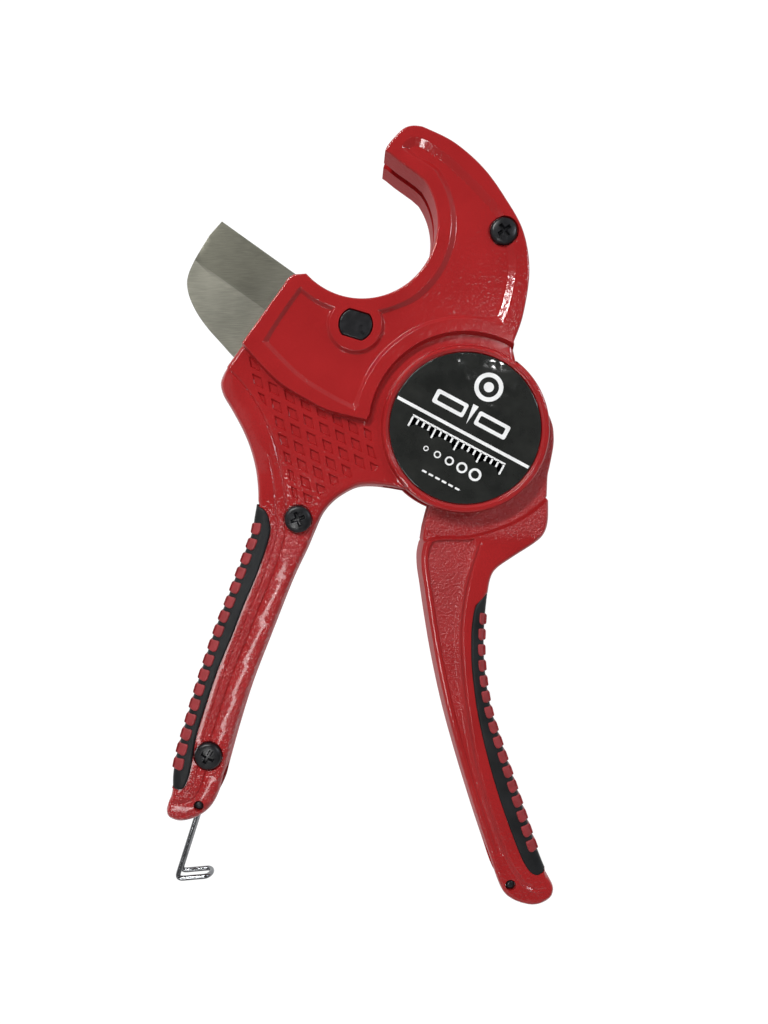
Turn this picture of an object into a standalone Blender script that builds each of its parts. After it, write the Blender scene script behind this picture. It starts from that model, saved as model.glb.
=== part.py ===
"""Ratcheting pipe cutter for plastic pipe up to 42 mm, lying on its back.

Lengths are in millimetres and are turned into metres as each mesh is made. X points right and Y
towards the hook, and both are measured from the axis that the moving handle turns on. Heights are
measured from the middle plane between the two body halves, and the object rests on Z = 0.
"""

import math

import bmesh
import bpy
from mathutils import Matrix, Vector

MM = 0.001
COIL_STEPS = 12

# Thicknesses
HALF_THICKNESS = 11.0
PLATE_TOP = 8.9
RECESS_FLOOR = 9.8
POCKET_HALF = 6.4
SLOT_HALF = 1.6
BLADE_HALF = 1.2
HEAD_HALF = 6.0
HANDLE_HALF = 9.4
SPLIT_GAP = 0.15
GAP = 0.3
THROUGH = 30.0

# Axes of the moving pieces, and places of the fixed pins and screws
HANDLE_AXIS = (0.0, 0.0)
BLADE_AXIS = (-32.4, 30.6)
DRIVE_PAWL_AXIS = (2.95, -16.7)
HOLDING_PAWL_AXIS = (-59.3, 12.4)
LATCH_AXIS = (-79.1, -112.2)
CATCH_PIN_AXIS = (13.6, -135.6)
HOOK_SCREW_AXIS = (11.4, 58.3)
UPPER_SCREW_AXIS = (-49.5, -26.9)
LOWER_SCREW_AXIS = (-76.2, -97.3)

# Jaw and pivot cover
JAW_CENTRE = (-30.5, 60.6)
JAW_RADIUS = 22.2
INNER_RIM_WIDTH = 3.9
RING_RADIUS = 25.0
LABEL_RADIUS = 22.4
GROOVE_RADIUS = 28.0
PIVOT_PIN_RADIUS = 5.0
PIVOT_HEAD_RADIUS = 8.0

# Blade
HUB_RADIUS = 7.2
BLADE_PIN_RADIUS = 4.85
BLADE_PIN_FLAT = 3.9
FLAT_SLOPE = -17.0
BLADE_BORE_RADIUS = 5.15
TOOTH_ROOT = 25.0
TOOTH_TIP = 27.5
TOOTH_PITCH = 8.0
FIRST_TOOTH = -124.0
TOOTH_COUNT = 18
EDGE_SLOPE = 144.4
EDGE_LEAD = 3.8
BEVEL_WIDTH = 14.5
BLADE_SWEEP_RADIUS = 55.8

# Screws and pins
SCREW_HEAD_RADIUS = 4.0
SCREW_HEAD_HEIGHT = 2.2
SCREW_RADIUS = 2.0
CROSS_LENGTH = 4.2
CROSS_WIDTH = 0.9
CROSS_DEPTH = 1.3
CROSS_TURN = 25.0
PAWL_PIN_RADIUS = 1.8
LATCH_PIN_RADIUS = 1.2
CATCH_PIN_RADIUS = 1.3

# Grips: thickness of the rubber wall, then of the block strip under it
GRIP_WALL = 1.5
STRIP_START = 1.8
STRIP_END = 2.6
CORE_START = 2.9
WALL_EXTRA = (0.5, 1.8)
GRIP_HALF = 9.8
CORE_HALF = 8.0
BLOCK_HALF = 10.2
BLOCK_PROUD = 0.4
BLOCK_LENGTH = 3.7
BLOCK_PITCH = 4.6

# Latch wire
WIRE_RADIUS = 0.75
LATCH_LEG = 25.4
LATCH_SLOPE = -107.6
LATCH_HOOK = 10.2
LATCH_HALF_WIDTH = 3.0

BODY_RED = ((0.42, 0.012, 0.016, 1.0), 0.25, 0.0)
RUBBER = ((0.012, 0.012, 0.013, 1.0), 0.65, 0.0)
BLOCK_RED = ((0.45, 0.03, 0.045, 1.0), 0.6, 0.0)
STEEL = ((0.42, 0.41, 0.39, 1.0), 0.32, 1.0)
BLACK_STEEL = ((0.02, 0.02, 0.022, 1.0), 0.35, 0.6)
CHROME = ((0.75, 0.75, 0.76, 1.0), 0.12, 1.0)
LABEL_BLACK = ((0.012, 0.012, 0.012, 1.0), 0.12, 0.0)

# Outlines of the castings, as the few points that their curves run through
HOOK_OUTER = [
    (-23.7, 81.9), (-23.1, 83.4), (-20.9, 86.1), (-18.4, 88.5), (-16.2, 89.4), (-13.8, 89.4),
    (-11.2, 88.6), (-3.0, 84.4), (5.4, 77.0), (12.0, 67.9), (17.2, 58.2), (19.0, 46.6),
    (17.2, 33.8), (14.4, 25.6),
]
NECK = [
    (-17.9, -17.9), (-21.5, -17.3), (-26.9, -16.7), (-31.5, -17.0), (-35.5, -18.8), (-39.3, -21.5),
    (-42.5, -25.3), (-44.9, -30.5), (-47.3, -36.2), (-51.9, -46.0), (-58.3, -62.2),
    (-64.4, -78.0), (-68.8, -92.0), (-72.2, -104.3),
]
HANDLE_END = [
    (-72.2, -104.3), (-73.1, -107.8), (-74.7, -111.3), (-76.4, -113.5), (-78.6, -115.2),
    (-80.9, -116.3), (-83.7, -117.0), (-85.9, -116.9), (-88.1, -115.9), (-88.9, -114.1),
    (-88.3, -111.5), (-87.4, -109.2), (-87.0, -106.4),
]
FIXED_GRIP_SIDE = [
    (-61.9, -22.4), (-62.6, -26.3), (-63.4, -31.0), (-66.3, -38.9), (-70.6, -50.3),
    (-73.9, -58.6), (-77.0, -67.6), (-80.2, -77.5), (-83.1, -87.3), (-85.5, -95.6),
    (-86.8, -102.0), (-87.0, -106.4),
]
FIXED_GRIP_INNER = [
    (-61.4, -23.1), (-59.4, -24.2), (-58.1, -27.2), (-58.0, -32.0), (-61.7, -43.3), (-65.7, -52.8),
    (-68.8, -60.9), (-73.1, -71.2), (-77.2, -83.3), (-79.8, -91.9), (-81.2, -100.0),
    (-82.2, -104.2), (-83.5, -106.7), (-85.0, -107.3), (-86.7, -106.9),
]
BODY_LEFT = [
    (-61.5, -21.4), (-61.7, -17.3), (-62.5, -11.7), (-64.1, -5.6), (-66.5, 0.2), (-69.7, 6.1),
    (-72.2, 10.4), (-73.0, 14.0), (-72.0, 17.0),
]
BODY_SHOULDER = [(-53.6, 42.6), (-52.4, 44.4), (-50.8, 45.4), (-48.8, 45.6)]
JAW_LOWER = [(-28.8, 1.8), (-40.3, 4.6), (-47.5, 8.2), (-54.4, 12.4), (-59.8, 17.4), (-65.2, 23.4)]
RECESS_OUTER = [
    (-19.3, 82.5), (-18.6, 84.0), (-16.9, 85.5), (-15.1, 86.2), (-11.4, 85.2), (-5.9, 81.5),
    (-0.3, 76.6), (5.3, 71.0), (10.7, 64.8), (13.6, 58.4), (15.2, 50.5), (15.0, 44.0),
    (13.2, 35.8), (11.3, 31.0),
]
RECESS_LOWER = [
    (-32.4, 4.9), (-40.9, 9.2), (-50.1, 15.3), (-60.2, 25.4), (-54.6, 34.0), (-49.4, 41.3),
]
JAW_TIP = [(-14.2, 74.9), (-17.0, 76.9), (-19.8, 78.9), (-22.6, 81.2)]
RECESS_TIP = [(-9.2, 75.9), (-12.4, 78.3), (-17.2, 81.1)]
HEAD_EDGE = [
    (22.0, 9.6), (24.2, 6.9), (25.2, 5.6), (26.2, 3.9), (27.1, 1.2), (27.4, -1.4), (27.4, -4.1),
    (26.9, -7.4), (26.2, -10.8), (25.6, -13.6), (25.4, -16.8), (25.3, -20.0),
]
HANDLE_LEFT = [
    (-12.0, -33.2), (-12.9, -37.4), (-12.8, -42.0), (-12.0, -47.4), (-10.6, -57.0), (-8.3, -70.4),
    (-5.1, -85.1), (-1.1, -99.8), (3.6, -115.2), (7.7, -127.6), (11.0, -136.8), (14.3, -140.1),
    (19.1, -141.7), (22.6, -141.4), (25.6, -139.6), (26.5, -137.2), (25.9, -135.0),
    (24.2, -132.6), (24.0, -130.6),
]
MOVING_GRIP_SIDE = [
    (7.0, -48.8), (6.2, -56.7), (5.9, -65.2), (6.5, -74.0), (8.0, -83.1), (10.6, -91.8),
    (14.0, -102.0), (17.4, -112.2), (20.8, -122.4), (23.0, -128.2), (24.0, -130.6),
]
MOVING_GRIP_INNER = [
    (6.3, -49.5), (3.4, -52.6), (2.2, -57.5), (1.9, -63.6), (2.2, -72.3), (3.9, -85.1),
    (7.3, -99.7), (11.5, -113.4), (16.3, -126.2), (19.0, -131.2), (21.4, -132.6), (23.6, -131.6),
]
HANDLE_RIGHT = [
    (7.0, -48.8), (7.8, -44.6), (9.6, -41.6), (14.9, -37.9), (20.8, -34.1), (23.6, -31.4),
    (24.9, -27.4), (25.0, -20.4),
]
HANDLE_STEP = [
    (25.0, -20.4), (22.3, -22.6), (16.4, -26.7), (9.0, -29.8), (1.5, -31.8), (-5.3, -31.9),
    (-9.0, -32.3), (-12.0, -33.2),
]


def polar(centre, radius, degrees):
    """The point at this radius and direction from a centre."""
    angle = math.radians(degrees)
    return (centre[0] + radius * math.cos(angle), centre[1] + radius * math.sin(angle))


def arc(centre, radius, start, end, step=9.0):
    """Points along an arc from one direction to another, in degrees."""
    count = max(2, math.ceil(abs(end - start) / step))
    return [polar(centre, radius, start + (end - start) * i / count) for i in range(count + 1)]


def circle(centre, radius, sides=32):
    return arc(centre, radius, 0.0, 360.0 - 360.0 / sides, 360.0 / sides)


def smooth(points, steps=2):
    """A Catmull-Rom curve through the points, with a few points added between each two."""
    ends = [points[0], *points, points[-1]]
    curve = []
    for a, b, c, d in zip(ends, ends[1:], ends[2:], ends[3:]):
        for i in range(steps):
            t = i / steps
            curve.append(tuple(
                0.5 * (2 * q + (r - p) * t + (2 * p - 5 * q + 4 * r - s) * t * t
                       + (3 * q - p - 3 * r + s) * t ** 3)
                for p, q, r, s in zip(a, b, c, d)
            ))
    return [*curve, points[-1]]


def offset(points, distance):
    """The open line moved sideways by a distance, to the left of the way that it runs."""
    moved = []
    for i, point in enumerate(points):
        before = Vector(points[max(i - 1, 0)])
        after = Vector(points[min(i + 1, len(points) - 1)])
        along = (after - before).normalized()
        moved.append((point[0] - along.y * distance, point[1] + along.x * distance))
    return moved


def clear_scene():
    for obj in list(bpy.data.objects):
        bpy.data.objects.remove(obj)


def new_collection(name):
    collection = bpy.data.collections.new(name)
    bpy.context.scene.collection.children.link(collection)
    return collection


def new_material(name, look):
    material = bpy.data.materials.new(name)
    material.use_nodes = True
    shader = material.node_tree.nodes["Principled BSDF"]
    colour, roughness, metallic = look
    shader.inputs["Base Color"].default_value = colour
    shader.inputs["Roughness"].default_value = roughness
    shader.inputs["Metallic"].default_value = metallic
    return material


def world_height(height):
    """A height above the middle plane as metres above the resting face."""
    return (HALF_THICKNESS + height) * MM


def object_of(name, mesh):
    obj = bpy.data.objects.new(name, mesh)
    cutters.objects.link(obj)
    obj.hide_render = True
    obj.display_type = "WIRE"
    return obj


def plate(name, loops, low, high):
    """Flat outlines filled between two heights. A loop inside another one is a hole."""
    curve = bpy.data.curves.new(name, "CURVE")
    curve.dimensions = "2D"
    curve.fill_mode = "BOTH"
    curve.extrude = (high - low) / 2
    for loop in loops:
        spline = curve.splines.new("POLY")
        spline.points.add(len(loop) - 1)
        spline.use_cyclic_u = True
        for point, (x, y) in zip(spline.points, loop):
            point.co = (x, y, 0, 1)
    outline = bpy.data.objects.new(name, curve)
    cutters.objects.link(outline)
    outline.location.z = HALF_THICKNESS + (low + high) / 2
    return mesh_of(outline)


def mesh_of(source):
    """A curve object drawn in millimetres as a mesh object in metres, its caps welded on."""
    bpy.context.view_layer.update()
    graph = bpy.context.evaluated_depsgraph_get()
    mesh = bpy.data.meshes.new_from_object(source.evaluated_get(graph))
    mesh.transform(source.matrix_world)
    form = bmesh.new()
    form.from_mesh(mesh)
    bmesh.ops.remove_doubles(form, verts=form.verts, dist=1e-3)
    bmesh.ops.recalc_face_normals(form, faces=form.faces)
    form.to_mesh(mesh)
    form.free()
    mesh.transform(Matrix.Scale(MM, 4))
    name = source.name
    bpy.data.objects.remove(source)
    return object_of(name, mesh)


def disc(name, centre, radius, low, high, sides=32):
    """An upright cylinder between two heights."""
    mesh = bpy.data.meshes.new(name)
    form = bmesh.new()
    middle = Matrix.Translation((centre[0] * MM, centre[1] * MM, world_height((low + high) / 2)))
    bmesh.ops.create_cone(
        form, cap_ends=True, segments=sides, radius1=radius * MM, radius2=radius * MM,
        depth=(high - low) * MM, matrix=middle,
    )
    form.to_mesh(mesh)
    form.free()
    return object_of(name, mesh)


def wire(name, path, radius, sides_resolution=2):
    """A round wire with closed ends along points given with their heights."""
    curve = bpy.data.curves.new(name, "CURVE")
    curve.dimensions = "3D"
    curve.bevel_depth = radius
    curve.bevel_resolution = sides_resolution
    curve.use_fill_caps = True
    spline = curve.splines.new("POLY")
    spline.points.add(len(path) - 1)
    for point, (x, y, height) in zip(spline.points, path):
        point.co = (x, y, HALF_THICKNESS + height, 1)
    source = bpy.data.objects.new(name, curve)
    cutters.objects.link(source)
    return mesh_of(source)


def combine(obj, operation, *others):
    for other in others:
        modifier = obj.modifiers.new(other.name, "BOOLEAN")
        modifier.operation = operation
        modifier.object = other
    return obj


def cut(obj, *cutting):
    return combine(obj, "DIFFERENCE", *cutting)


def join(obj, *added):
    return combine(obj, "UNION", *added)


def axis_empty(name, point, parent=None):
    empty = bpy.data.objects.new(name, None)
    part.objects.link(empty)
    empty.empty_display_size = 6 * MM
    place = Vector((point[0] * MM, point[1] * MM, world_height(0)))
    if parent is not None:
        empty.parent = parent
        place -= parent.location
    empty.location = place
    return empty


def piece(obj, name, material, axis):
    """Makes a solid one of the object's own pieces, with its origin on an axis empty."""
    bpy.context.view_layer.update()
    cutters.objects.unlink(obj)
    part.objects.link(obj)
    obj.name = name
    obj.data.name = name
    obj.hide_render = False
    obj.display_type = "TEXTURED"
    obj.data.materials.clear()
    obj.data.materials.append(material)
    obj.data.transform(Matrix.Translation(-axis.matrix_world.translation))
    obj.parent = axis
    obj.data.shade_smooth()
    obj.data.set_sharp_from_angle(angle=math.radians(30))
    return obj


def body_outline():
    """The whole body half: hook, jaw, pivot ring and fixed handle."""
    ring = arc(HANDLE_AXIS, RING_RADIUS, 53.0, -134.0, 6)
    jaw = [*arc(JAW_CENTRE, JAW_RADIUS, -138.0, 34.0), *JAW_TIP]
    return [
        *smooth(HOOK_OUTER), *ring, *NECK[:-1], *HANDLE_END[:-1],
        *reversed(FIXED_GRIP_SIDE), *BODY_LEFT, *BODY_SHOULDER, *jaw,
    ]


def jaw_outline():
    """The raised plate of the hook and jaw."""
    beside_ring = arc(HANDLE_AXIS, GROOVE_RADIUS, 60.0, 172.0)
    opening = [*arc(JAW_CENTRE, JAW_RADIUS, -138.0, 34.0), *JAW_TIP]
    return [
        *smooth(HOOK_OUTER), *beside_ring, *JAW_LOWER, *BODY_SHOULDER, *opening,
    ]


def recess_outline():
    """The sunk field inside the jaw plate's rim."""
    beside_ring = arc(HANDLE_AXIS, GROOVE_RADIUS + 4.5, 70.0, 168.0)
    opening = [*arc(JAW_CENTRE, JAW_RADIUS + INNER_RIM_WIDTH, -134.0, 28.0), *RECESS_TIP]
    return [*RECESS_OUTER, *beside_ring, *RECESS_LOWER, *opening]


def grip_band(side, inner):
    """The grip's outline seen from the front, between its outer side and its inner edge."""
    return [*side, *reversed(inner)]


def prolonged(line, at_start, at_end):
    """The open line with a straight piece added at each end."""
    first, second = Vector(line[0]), Vector(line[1])
    last, before = Vector(line[-1]), Vector(line[-2])
    start = first + (first - second).normalized() * at_start
    end = last + (last - before).normalized() * at_end
    return [tuple(start), *line, tuple(end)]


def strip_of(side, start, end, inward, trim=0, extra=None):
    """A band beside the grip's outer side, between two depths below it."""
    line = side[trim:-trim or None]
    if extra:
        line = prolonged(line, *extra)
    return [*offset(line, inward * start), *reversed(offset(line, inward * end))]


def d_outline(centre, radius, flat):
    """A circle with two parallel flats."""
    half = math.degrees(math.acos(flat / radius))
    turn = FLAT_SLOPE + 90
    return [
        *arc(centre, radius, turn - 180 + half, turn - half, 9),
        *arc(centre, radius, turn + half, turn + 180 - half, 9),
    ]


def slot_cutters(side):
    """The thin space between the halves where the blade and the pawls move."""
    sweep = [BLADE_AXIS, *arc(BLADE_AXIS, BLADE_SWEEP_RADIUS, 39.0, 206.0)]
    teeth = arc(BLADE_AXIS, TOOTH_TIP + 0.9, 0, 354)
    drive = [
        (6.0, -21.0), (8.5, -14.0), (-30.0, 6.5), (-44.0, 7.5), (-45.0, -1.0), (-28.0, -11.0),
        (-22.0, -19.5), (-10.0, -26.0),
    ]
    hold = [
        *arc(BLADE_AXIS, 27.0, -150.0, -114.0), *arc(BLADE_AXIS, 34.0, -114.0, -140.0),
        *arc(HOLDING_PAWL_AXIS, 3.6, -70.0, -250.0),
    ]
    low, high = sorted((-side * 1.0, side * SLOT_HALF))
    return [
        plate(f"slot_{name}_{side}", [loop], low, high)
        for name, loop in (("sweep", sweep), ("teeth", teeth), ("drive", drive), ("hold", hold))
    ]


def pocket_cutters(side):
    """The deep spaces inside the halves: round the handle's head, and in the fixed handle."""
    head = [
        *arc(HANDLE_AXIS, 29.4, 28.0, -153.0), (-16.2, -8.3),
        *arc(HANDLE_AXIS, 11.2, -176.0, -332.0),
    ]
    outer = offset(FIXED_GRIP_SIDE[3:9], 5.4)
    inner = offset(NECK[8:12], -2.6)
    handle = [*outer, *reversed(inner)]
    latch = [
        (-86.2, -108.4), (-81.5, -105.6), (-74.0, -103.4), (-60.0, -99.0), (-60.0, -126.0),
        (-87.4, -126.0), (-87.0, -116.0),
    ]
    low, high = sorted((-side * 1.0, side * POCKET_HALF))
    return [
        plate(f"pocket_{name}_{side}", [loop], low, high)
        for name, loop in (("head", head), ("handle", handle), ("latch", latch))
    ]


def between(side, low, high):
    """Two heights on this side of the middle plane, the lower first."""
    return sorted((side * low, side * high))


def shell(side):
    """One half of the body, at the front (1) or the back (-1)."""
    name = "front" if side > 0 else "back"
    body = plate(f"{name}_base", [body_outline()], *between(side, SPLIT_GAP, PLATE_TOP))
    jaw = plate(f"{name}_jaw", [jaw_outline()], *between(side, 8.0, HALF_THICKNESS))
    ring = disc(f"{name}_ring", HANDLE_AXIS, RING_RADIUS, *between(side, 8.0, HALF_THICKNESS), 60)
    join(body, jaw, ring)
    boss = disc(f"{name}_boss", BLADE_AXIS, 7.6, *between(side, 9.0, HALF_THICKNESS + 3))
    recess = plate(
        f"{name}_recess", [recess_outline()], *between(side, RECESS_FLOOR, HALF_THICKNESS + 2)
    )
    cut(recess, boss)
    label = disc(
        f"{name}_label_seat", HANDLE_AXIS, LABEL_RADIUS + 0.3,
        *between(side, RECESS_FLOOR, HALF_THICKNESS + 2), 60,
    )
    bore = disc(f"{name}_bore", HANDLE_AXIS, PIVOT_PIN_RADIUS + GAP, -THROUGH, THROUGH)
    seat = disc(
        f"{name}_pivot_seat", HANDLE_AXIS, PIVOT_HEAD_RADIUS + GAP,
        *between(side, 8.2, HALF_THICKNESS),
    )
    grip_face = plate(
        f"{name}_grip_face", [grip_band(FIXED_GRIP_SIDE, FIXED_GRIP_INNER)],
        *between(side, CORE_HALF, HALF_THICKNESS),
    )
    grip_wall = plate(
        f"{name}_grip_wall", [strip_of(FIXED_GRIP_SIDE, -2.0, CORE_START, 1, extra=WALL_EXTRA)],
        -THROUGH, THROUGH,
    )
    latch_hole = disc(
        f"{name}_latch_hole", LATCH_AXIS, LATCH_PIN_RADIUS + GAP, -THROUGH, THROUGH, 20
    )
    pawl_hole = disc(
        f"{name}_pawl_hole", HOLDING_PAWL_AXIS, PAWL_PIN_RADIUS + GAP, *between(side, -1.0, 6.4), 24
    )
    cut(
        body, recess, label, bore, seat, grip_face, grip_wall, latch_hole, pawl_hole,
        *slot_cutters(side), *pocket_cutters(side),
    )
    return body


def front_shell():
    body = shell(1)
    blade_bore = plate(
        "double_d_hole", [d_outline(BLADE_AXIS, BLADE_BORE_RADIUS, BLADE_PIN_FLAT + GAP)],
        -THROUGH, THROUGH,
    )
    spring_seat = disc("holding_spring_seat", HOLDING_PAWL_AXIS, 3.4, 1.0, 4.4, 32)
    cut(body, blade_bore, spring_seat)
    for name, centre, top in screw_places():
        hole = disc(f"{name}_hole", centre, SCREW_RADIUS + GAP, -THROUGH, THROUGH, 24)
        seat = disc(f"{name}_seat", centre, SCREW_HEAD_RADIUS + 0.4, top, THROUGH)
        cut(body, hole, seat)
    return piece(body, "front_shell", red, base)


def back_shell():
    body = shell(-1)
    blade_bore = disc("back_blade_bore", BLADE_AXIS, BLADE_BORE_RADIUS, -THROUGH, THROUGH)
    head_seat = disc("blade_screw_seat", BLADE_AXIS, 6.5, -THROUGH, -8.3)
    spring_seat = disc("blade_spring_seat", BLADE_AXIS, 7.3, -5.0, -1.0)
    cut(body, blade_bore, head_seat, spring_seat)
    for name, centre, _ in screw_places():
        cut(body, disc(f"{name}_thread", centre, SCREW_RADIUS + GAP, -7.2, 1.0, 24))
    return piece(body, "back_shell", red, base)


def screw_places():
    """Name, axis and seat height of the three screws that hold the halves together."""
    return (
        ("hook_screw", HOOK_SCREW_AXIS, RECESS_FLOOR - 0.6),
        ("upper_handle_screw", UPPER_SCREW_AXIS, PLATE_TOP - 0.5),
        ("lower_handle_screw", LOWER_SCREW_AXIS, PLATE_TOP - 0.9),
    )


def shell_screws():
    for name, centre, seat in screw_places():
        low = seat + GAP
        screw = disc(name, centre, SCREW_HEAD_RADIUS, low, low + SCREW_HEAD_HEIGHT)
        shank = disc(f"{name}_shank", centre, SCREW_RADIUS, -6.8, low + 1.0, 24)
        top = low + SCREW_HEAD_HEIGHT
        cross = cross_cutter(f"{name}_cross", centre, top - CROSS_DEPTH, top + 1.0)
        join(screw, shank)
        cut(screw, cross)
        piece(screw, name, black_steel, base)


def cross_cutter(name, centre, low, high):
    """A cross recess, turned a little as a driven screw's is."""
    loop = []
    for quarter in range(4):
        direction = CROSS_TURN + 90 * quarter
        tip = polar(centre, CROSS_LENGTH / 2, direction)
        side = polar((0, 0), CROSS_WIDTH / 2, direction + 90)
        inner = polar(centre, CROSS_WIDTH / math.sqrt(2), direction + 45)
        loop += [
            (tip[0] - side[0], tip[1] - side[1]), (tip[0] + side[0], tip[1] + side[1]), inner,
        ]
    return plate(name, [loop], low, high)


def blade():
    """The blade with its cutting edge, its bore and the ratchet teeth on its tail."""
    across = polar((0, 0), 1, EDGE_SLOPE)
    lead = polar(BLADE_AXIS, EDGE_LEAD, EDGE_SLOPE - 90)
    reach = math.sqrt(HUB_RADIUS ** 2 - EDGE_LEAD ** 2)
    start = (lead[0] + across[0] * reach, lead[1] + across[1] * reach)
    tip = (lead[0] + across[0] * 53.2, lead[1] + across[1] * 53.2)
    end = [
        (-77.1, 60.4), (-79.4, 56.5), (-82.0, 51.8), (-83.6, 48.0), (-84.0, 44.9),
        (-83.2, 41.0), (-81.1, 36.5), (-78.0, 32.0), (-73.8, 27.3), (-69.8, 22.9), (-66.2, 20.2),
        (-61.8, 18.6), (-57.0, 18.4),
    ]
    start_direction = math.degrees(
        math.atan2(start[1] - BLADE_AXIS[1], start[0] - BLADE_AXIS[0])
    )
    hub = arc(BLADE_AXIS, HUB_RADIUS, 20.0, start_direction)
    teeth = []
    for number in range(TOOTH_COUNT):
        direction = FIRST_TOOTH + TOOTH_PITCH * number
        teeth += [polar(BLADE_AXIS, TOOTH_TIP, direction), polar(BLADE_AXIS, TOOTH_ROOT, direction)]
    web = arc(BLADE_AXIS, TOOTH_ROOT - 0.6, -150.0, FIRST_TOOTH - TOOTH_PITCH)
    outline = [tip, *smooth(end), *web, *teeth, *hub]
    bore = circle(BLADE_AXIS, BLADE_BORE_RADIUS)
    body = plate("blade_blank", [outline, bore], -BLADE_HALF, BLADE_HALF)
    cut(body, *[bevel_cutter(side, lead, across) for side in (1, -1)])
    # EXACT leaves open edges where the long, shallow bevels run out, and MANIFOLD doesn't.
    for modifier in body.modifiers:
        modifier.solver = "MANIFOLD"
    return piece(body, "blade", steel, blade_axis)


def bevel_cutter(side, lead, across):
    """A wedge that slopes one face of the blade down to its cutting edge."""
    edge_half = 0.12
    slope = (BLADE_HALF - edge_half) / BEVEL_WIDTH
    inside = BEVEL_WIDTH * 1.02
    profile = [
        (-2.0, edge_half - 2.0 * slope), (inside, edge_half + inside * slope),
        (inside, BLADE_HALF + 1.5), (-2.0, BLADE_HALF + 1.5),
    ]
    wedge = plate(f"bevel_{side}", [[(x, side * z) for x, z in profile]], -20.0, 20.0)
    into = Vector((-math.sin(math.radians(EDGE_SLOPE)), math.cos(math.radians(EDGE_SLOPE)), 0))
    along = Vector((across[0], across[1], 0))
    turn = Matrix((into, Vector((0, 0, 1)), along)).transposed().to_4x4()
    middle = Vector((lead[0] + across[0] * 36, lead[1] + across[1] * 36, 0)) * MM
    wedge.data.transform(Matrix.Translation((0, 0, -world_height(0))))
    wedge.data.transform(Matrix.Translation(middle + Vector((0, 0, world_height(0)))) @ turn)
    if turn.determinant() < 0:
        wedge.data.flip_normals()
    return wedge


def blade_pivot():
    pin = disc("blade_pin_blank", BLADE_AXIS, BLADE_PIN_RADIUS, -8.0, HALF_THICKNESS)
    flats = plate(
        "pin_flats",
        [circle(BLADE_AXIS, 9.0, 36), d_outline(BLADE_AXIS, BLADE_PIN_RADIUS + 0.2, BLADE_PIN_FLAT)],
        SLOT_HALF, THROUGH,
    )
    thread = disc("pin_thread", BLADE_AXIS, SCREW_RADIUS + GAP, -THROUGH, -2.6, 24)
    cut(pin, flats, thread)
    piece(pin, "blade_pivot_pin", black_steel, base)
    head_bottom = -10.6
    screw = disc("blade_screw_head", BLADE_AXIS, 6.0, head_bottom, head_bottom + 2.0)
    shank = disc("blade_screw_shank", BLADE_AXIS, SCREW_RADIUS, -9.0, -3.0, 24)
    join(screw, shank)
    cross = cross_cutter(
        "blade_screw_cross", BLADE_AXIS, head_bottom - 1.0, head_bottom + CROSS_DEPTH
    )
    cut(screw, cross)
    piece(screw, "blade_pin_screw", black_steel, base)


def coil(name, centre, radius, wire_radius, low, turns, pitch, start=0.0):
    """A torsion spring as an open coil, from its lowest point and its first direction."""
    path = []
    count = round(turns * COIL_STEPS)
    for i in range(count + 1):
        x, y = polar(centre, radius, start + 360 * i / COIL_STEPS)
        path.append((x, y, low + wire_radius + pitch * i / COIL_STEPS))
    return wire(name, path, wire_radius)


def springs():
    blade_spring = coil("blade_spring", BLADE_AXIS, 6.25, 0.5, -4.7, 2.0, 1.15)
    piece(blade_spring, "blade_return_spring", steel, base)
    handle_spring = coil("handle_spring", HANDLE_AXIS, 7.0, 0.6, -5.9, 1.25, 1.35, 200.0)
    piece(handle_spring, "handle_return_spring", steel, handle_axis)
    drive_spring = coil("drive_spring", DRIVE_PAWL_AXIS, 2.55, 0.25, 1.9, 2.5, 0.7, 30.0)
    piece(drive_spring, "drive_pawl_spring", steel, drive_axis)
    hold_spring = coil("hold_spring", HOLDING_PAWL_AXIS, 2.55, 0.25, 1.9, 2.5, 0.7, 30.0)
    piece(hold_spring, "holding_pawl_spring", steel, holding_axis)


def pivot_pieces():
    pin = disc("pivot_pin", HANDLE_AXIS, PIVOT_PIN_RADIUS, -8.8, 8.9)
    head = disc("pivot_head", HANDLE_AXIS, PIVOT_HEAD_RADIUS, -9.5, -8.5)
    groove = plate(
        "clip_groove", [circle(HANDLE_AXIS, 9.0), circle(HANDLE_AXIS, 4.2)], 8.45, 9.6
    )
    join(pin, head)
    cut(pin, groove)
    piece(pin, "handle_pivot_pin", steel, base)
    clip = plate(
        "clip", [[*arc(HANDLE_AXIS, 7.6, 35, 325), *arc(HANDLE_AXIS, 4.5, 325, 35)]], 8.55, 9.45
    )
    piece(clip, "pivot_circlip", steel, base)
    for name, side in (("label_disc", 1), ("back_cover_disc", -1)):
        low, high = between(side, RECESS_FLOOR + GAP, HALF_THICKNESS - 0.3 if side > 0 else HALF_THICKNESS)
        cover = disc(name + "_blank", HANDLE_AXIS, LABEL_RADIUS, low, high, 60)
        piece(cover, name, label_black, base)


def head_outline():
    """The forked head of the moving handle, seen from the front."""
    return [
        *HEAD_EDGE,
        (25.0, -26.0), (16.0, -35.0), (2.0, -38.0), (-11.5, -38.0), (-12.2, -33.0),
        (-11.6, -29.0), (-10.6, -25.0), (-8.0, -16.0), *arc(HANDLE_AXIS, 10.6, -140.0, -338.0),
    ]


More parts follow.
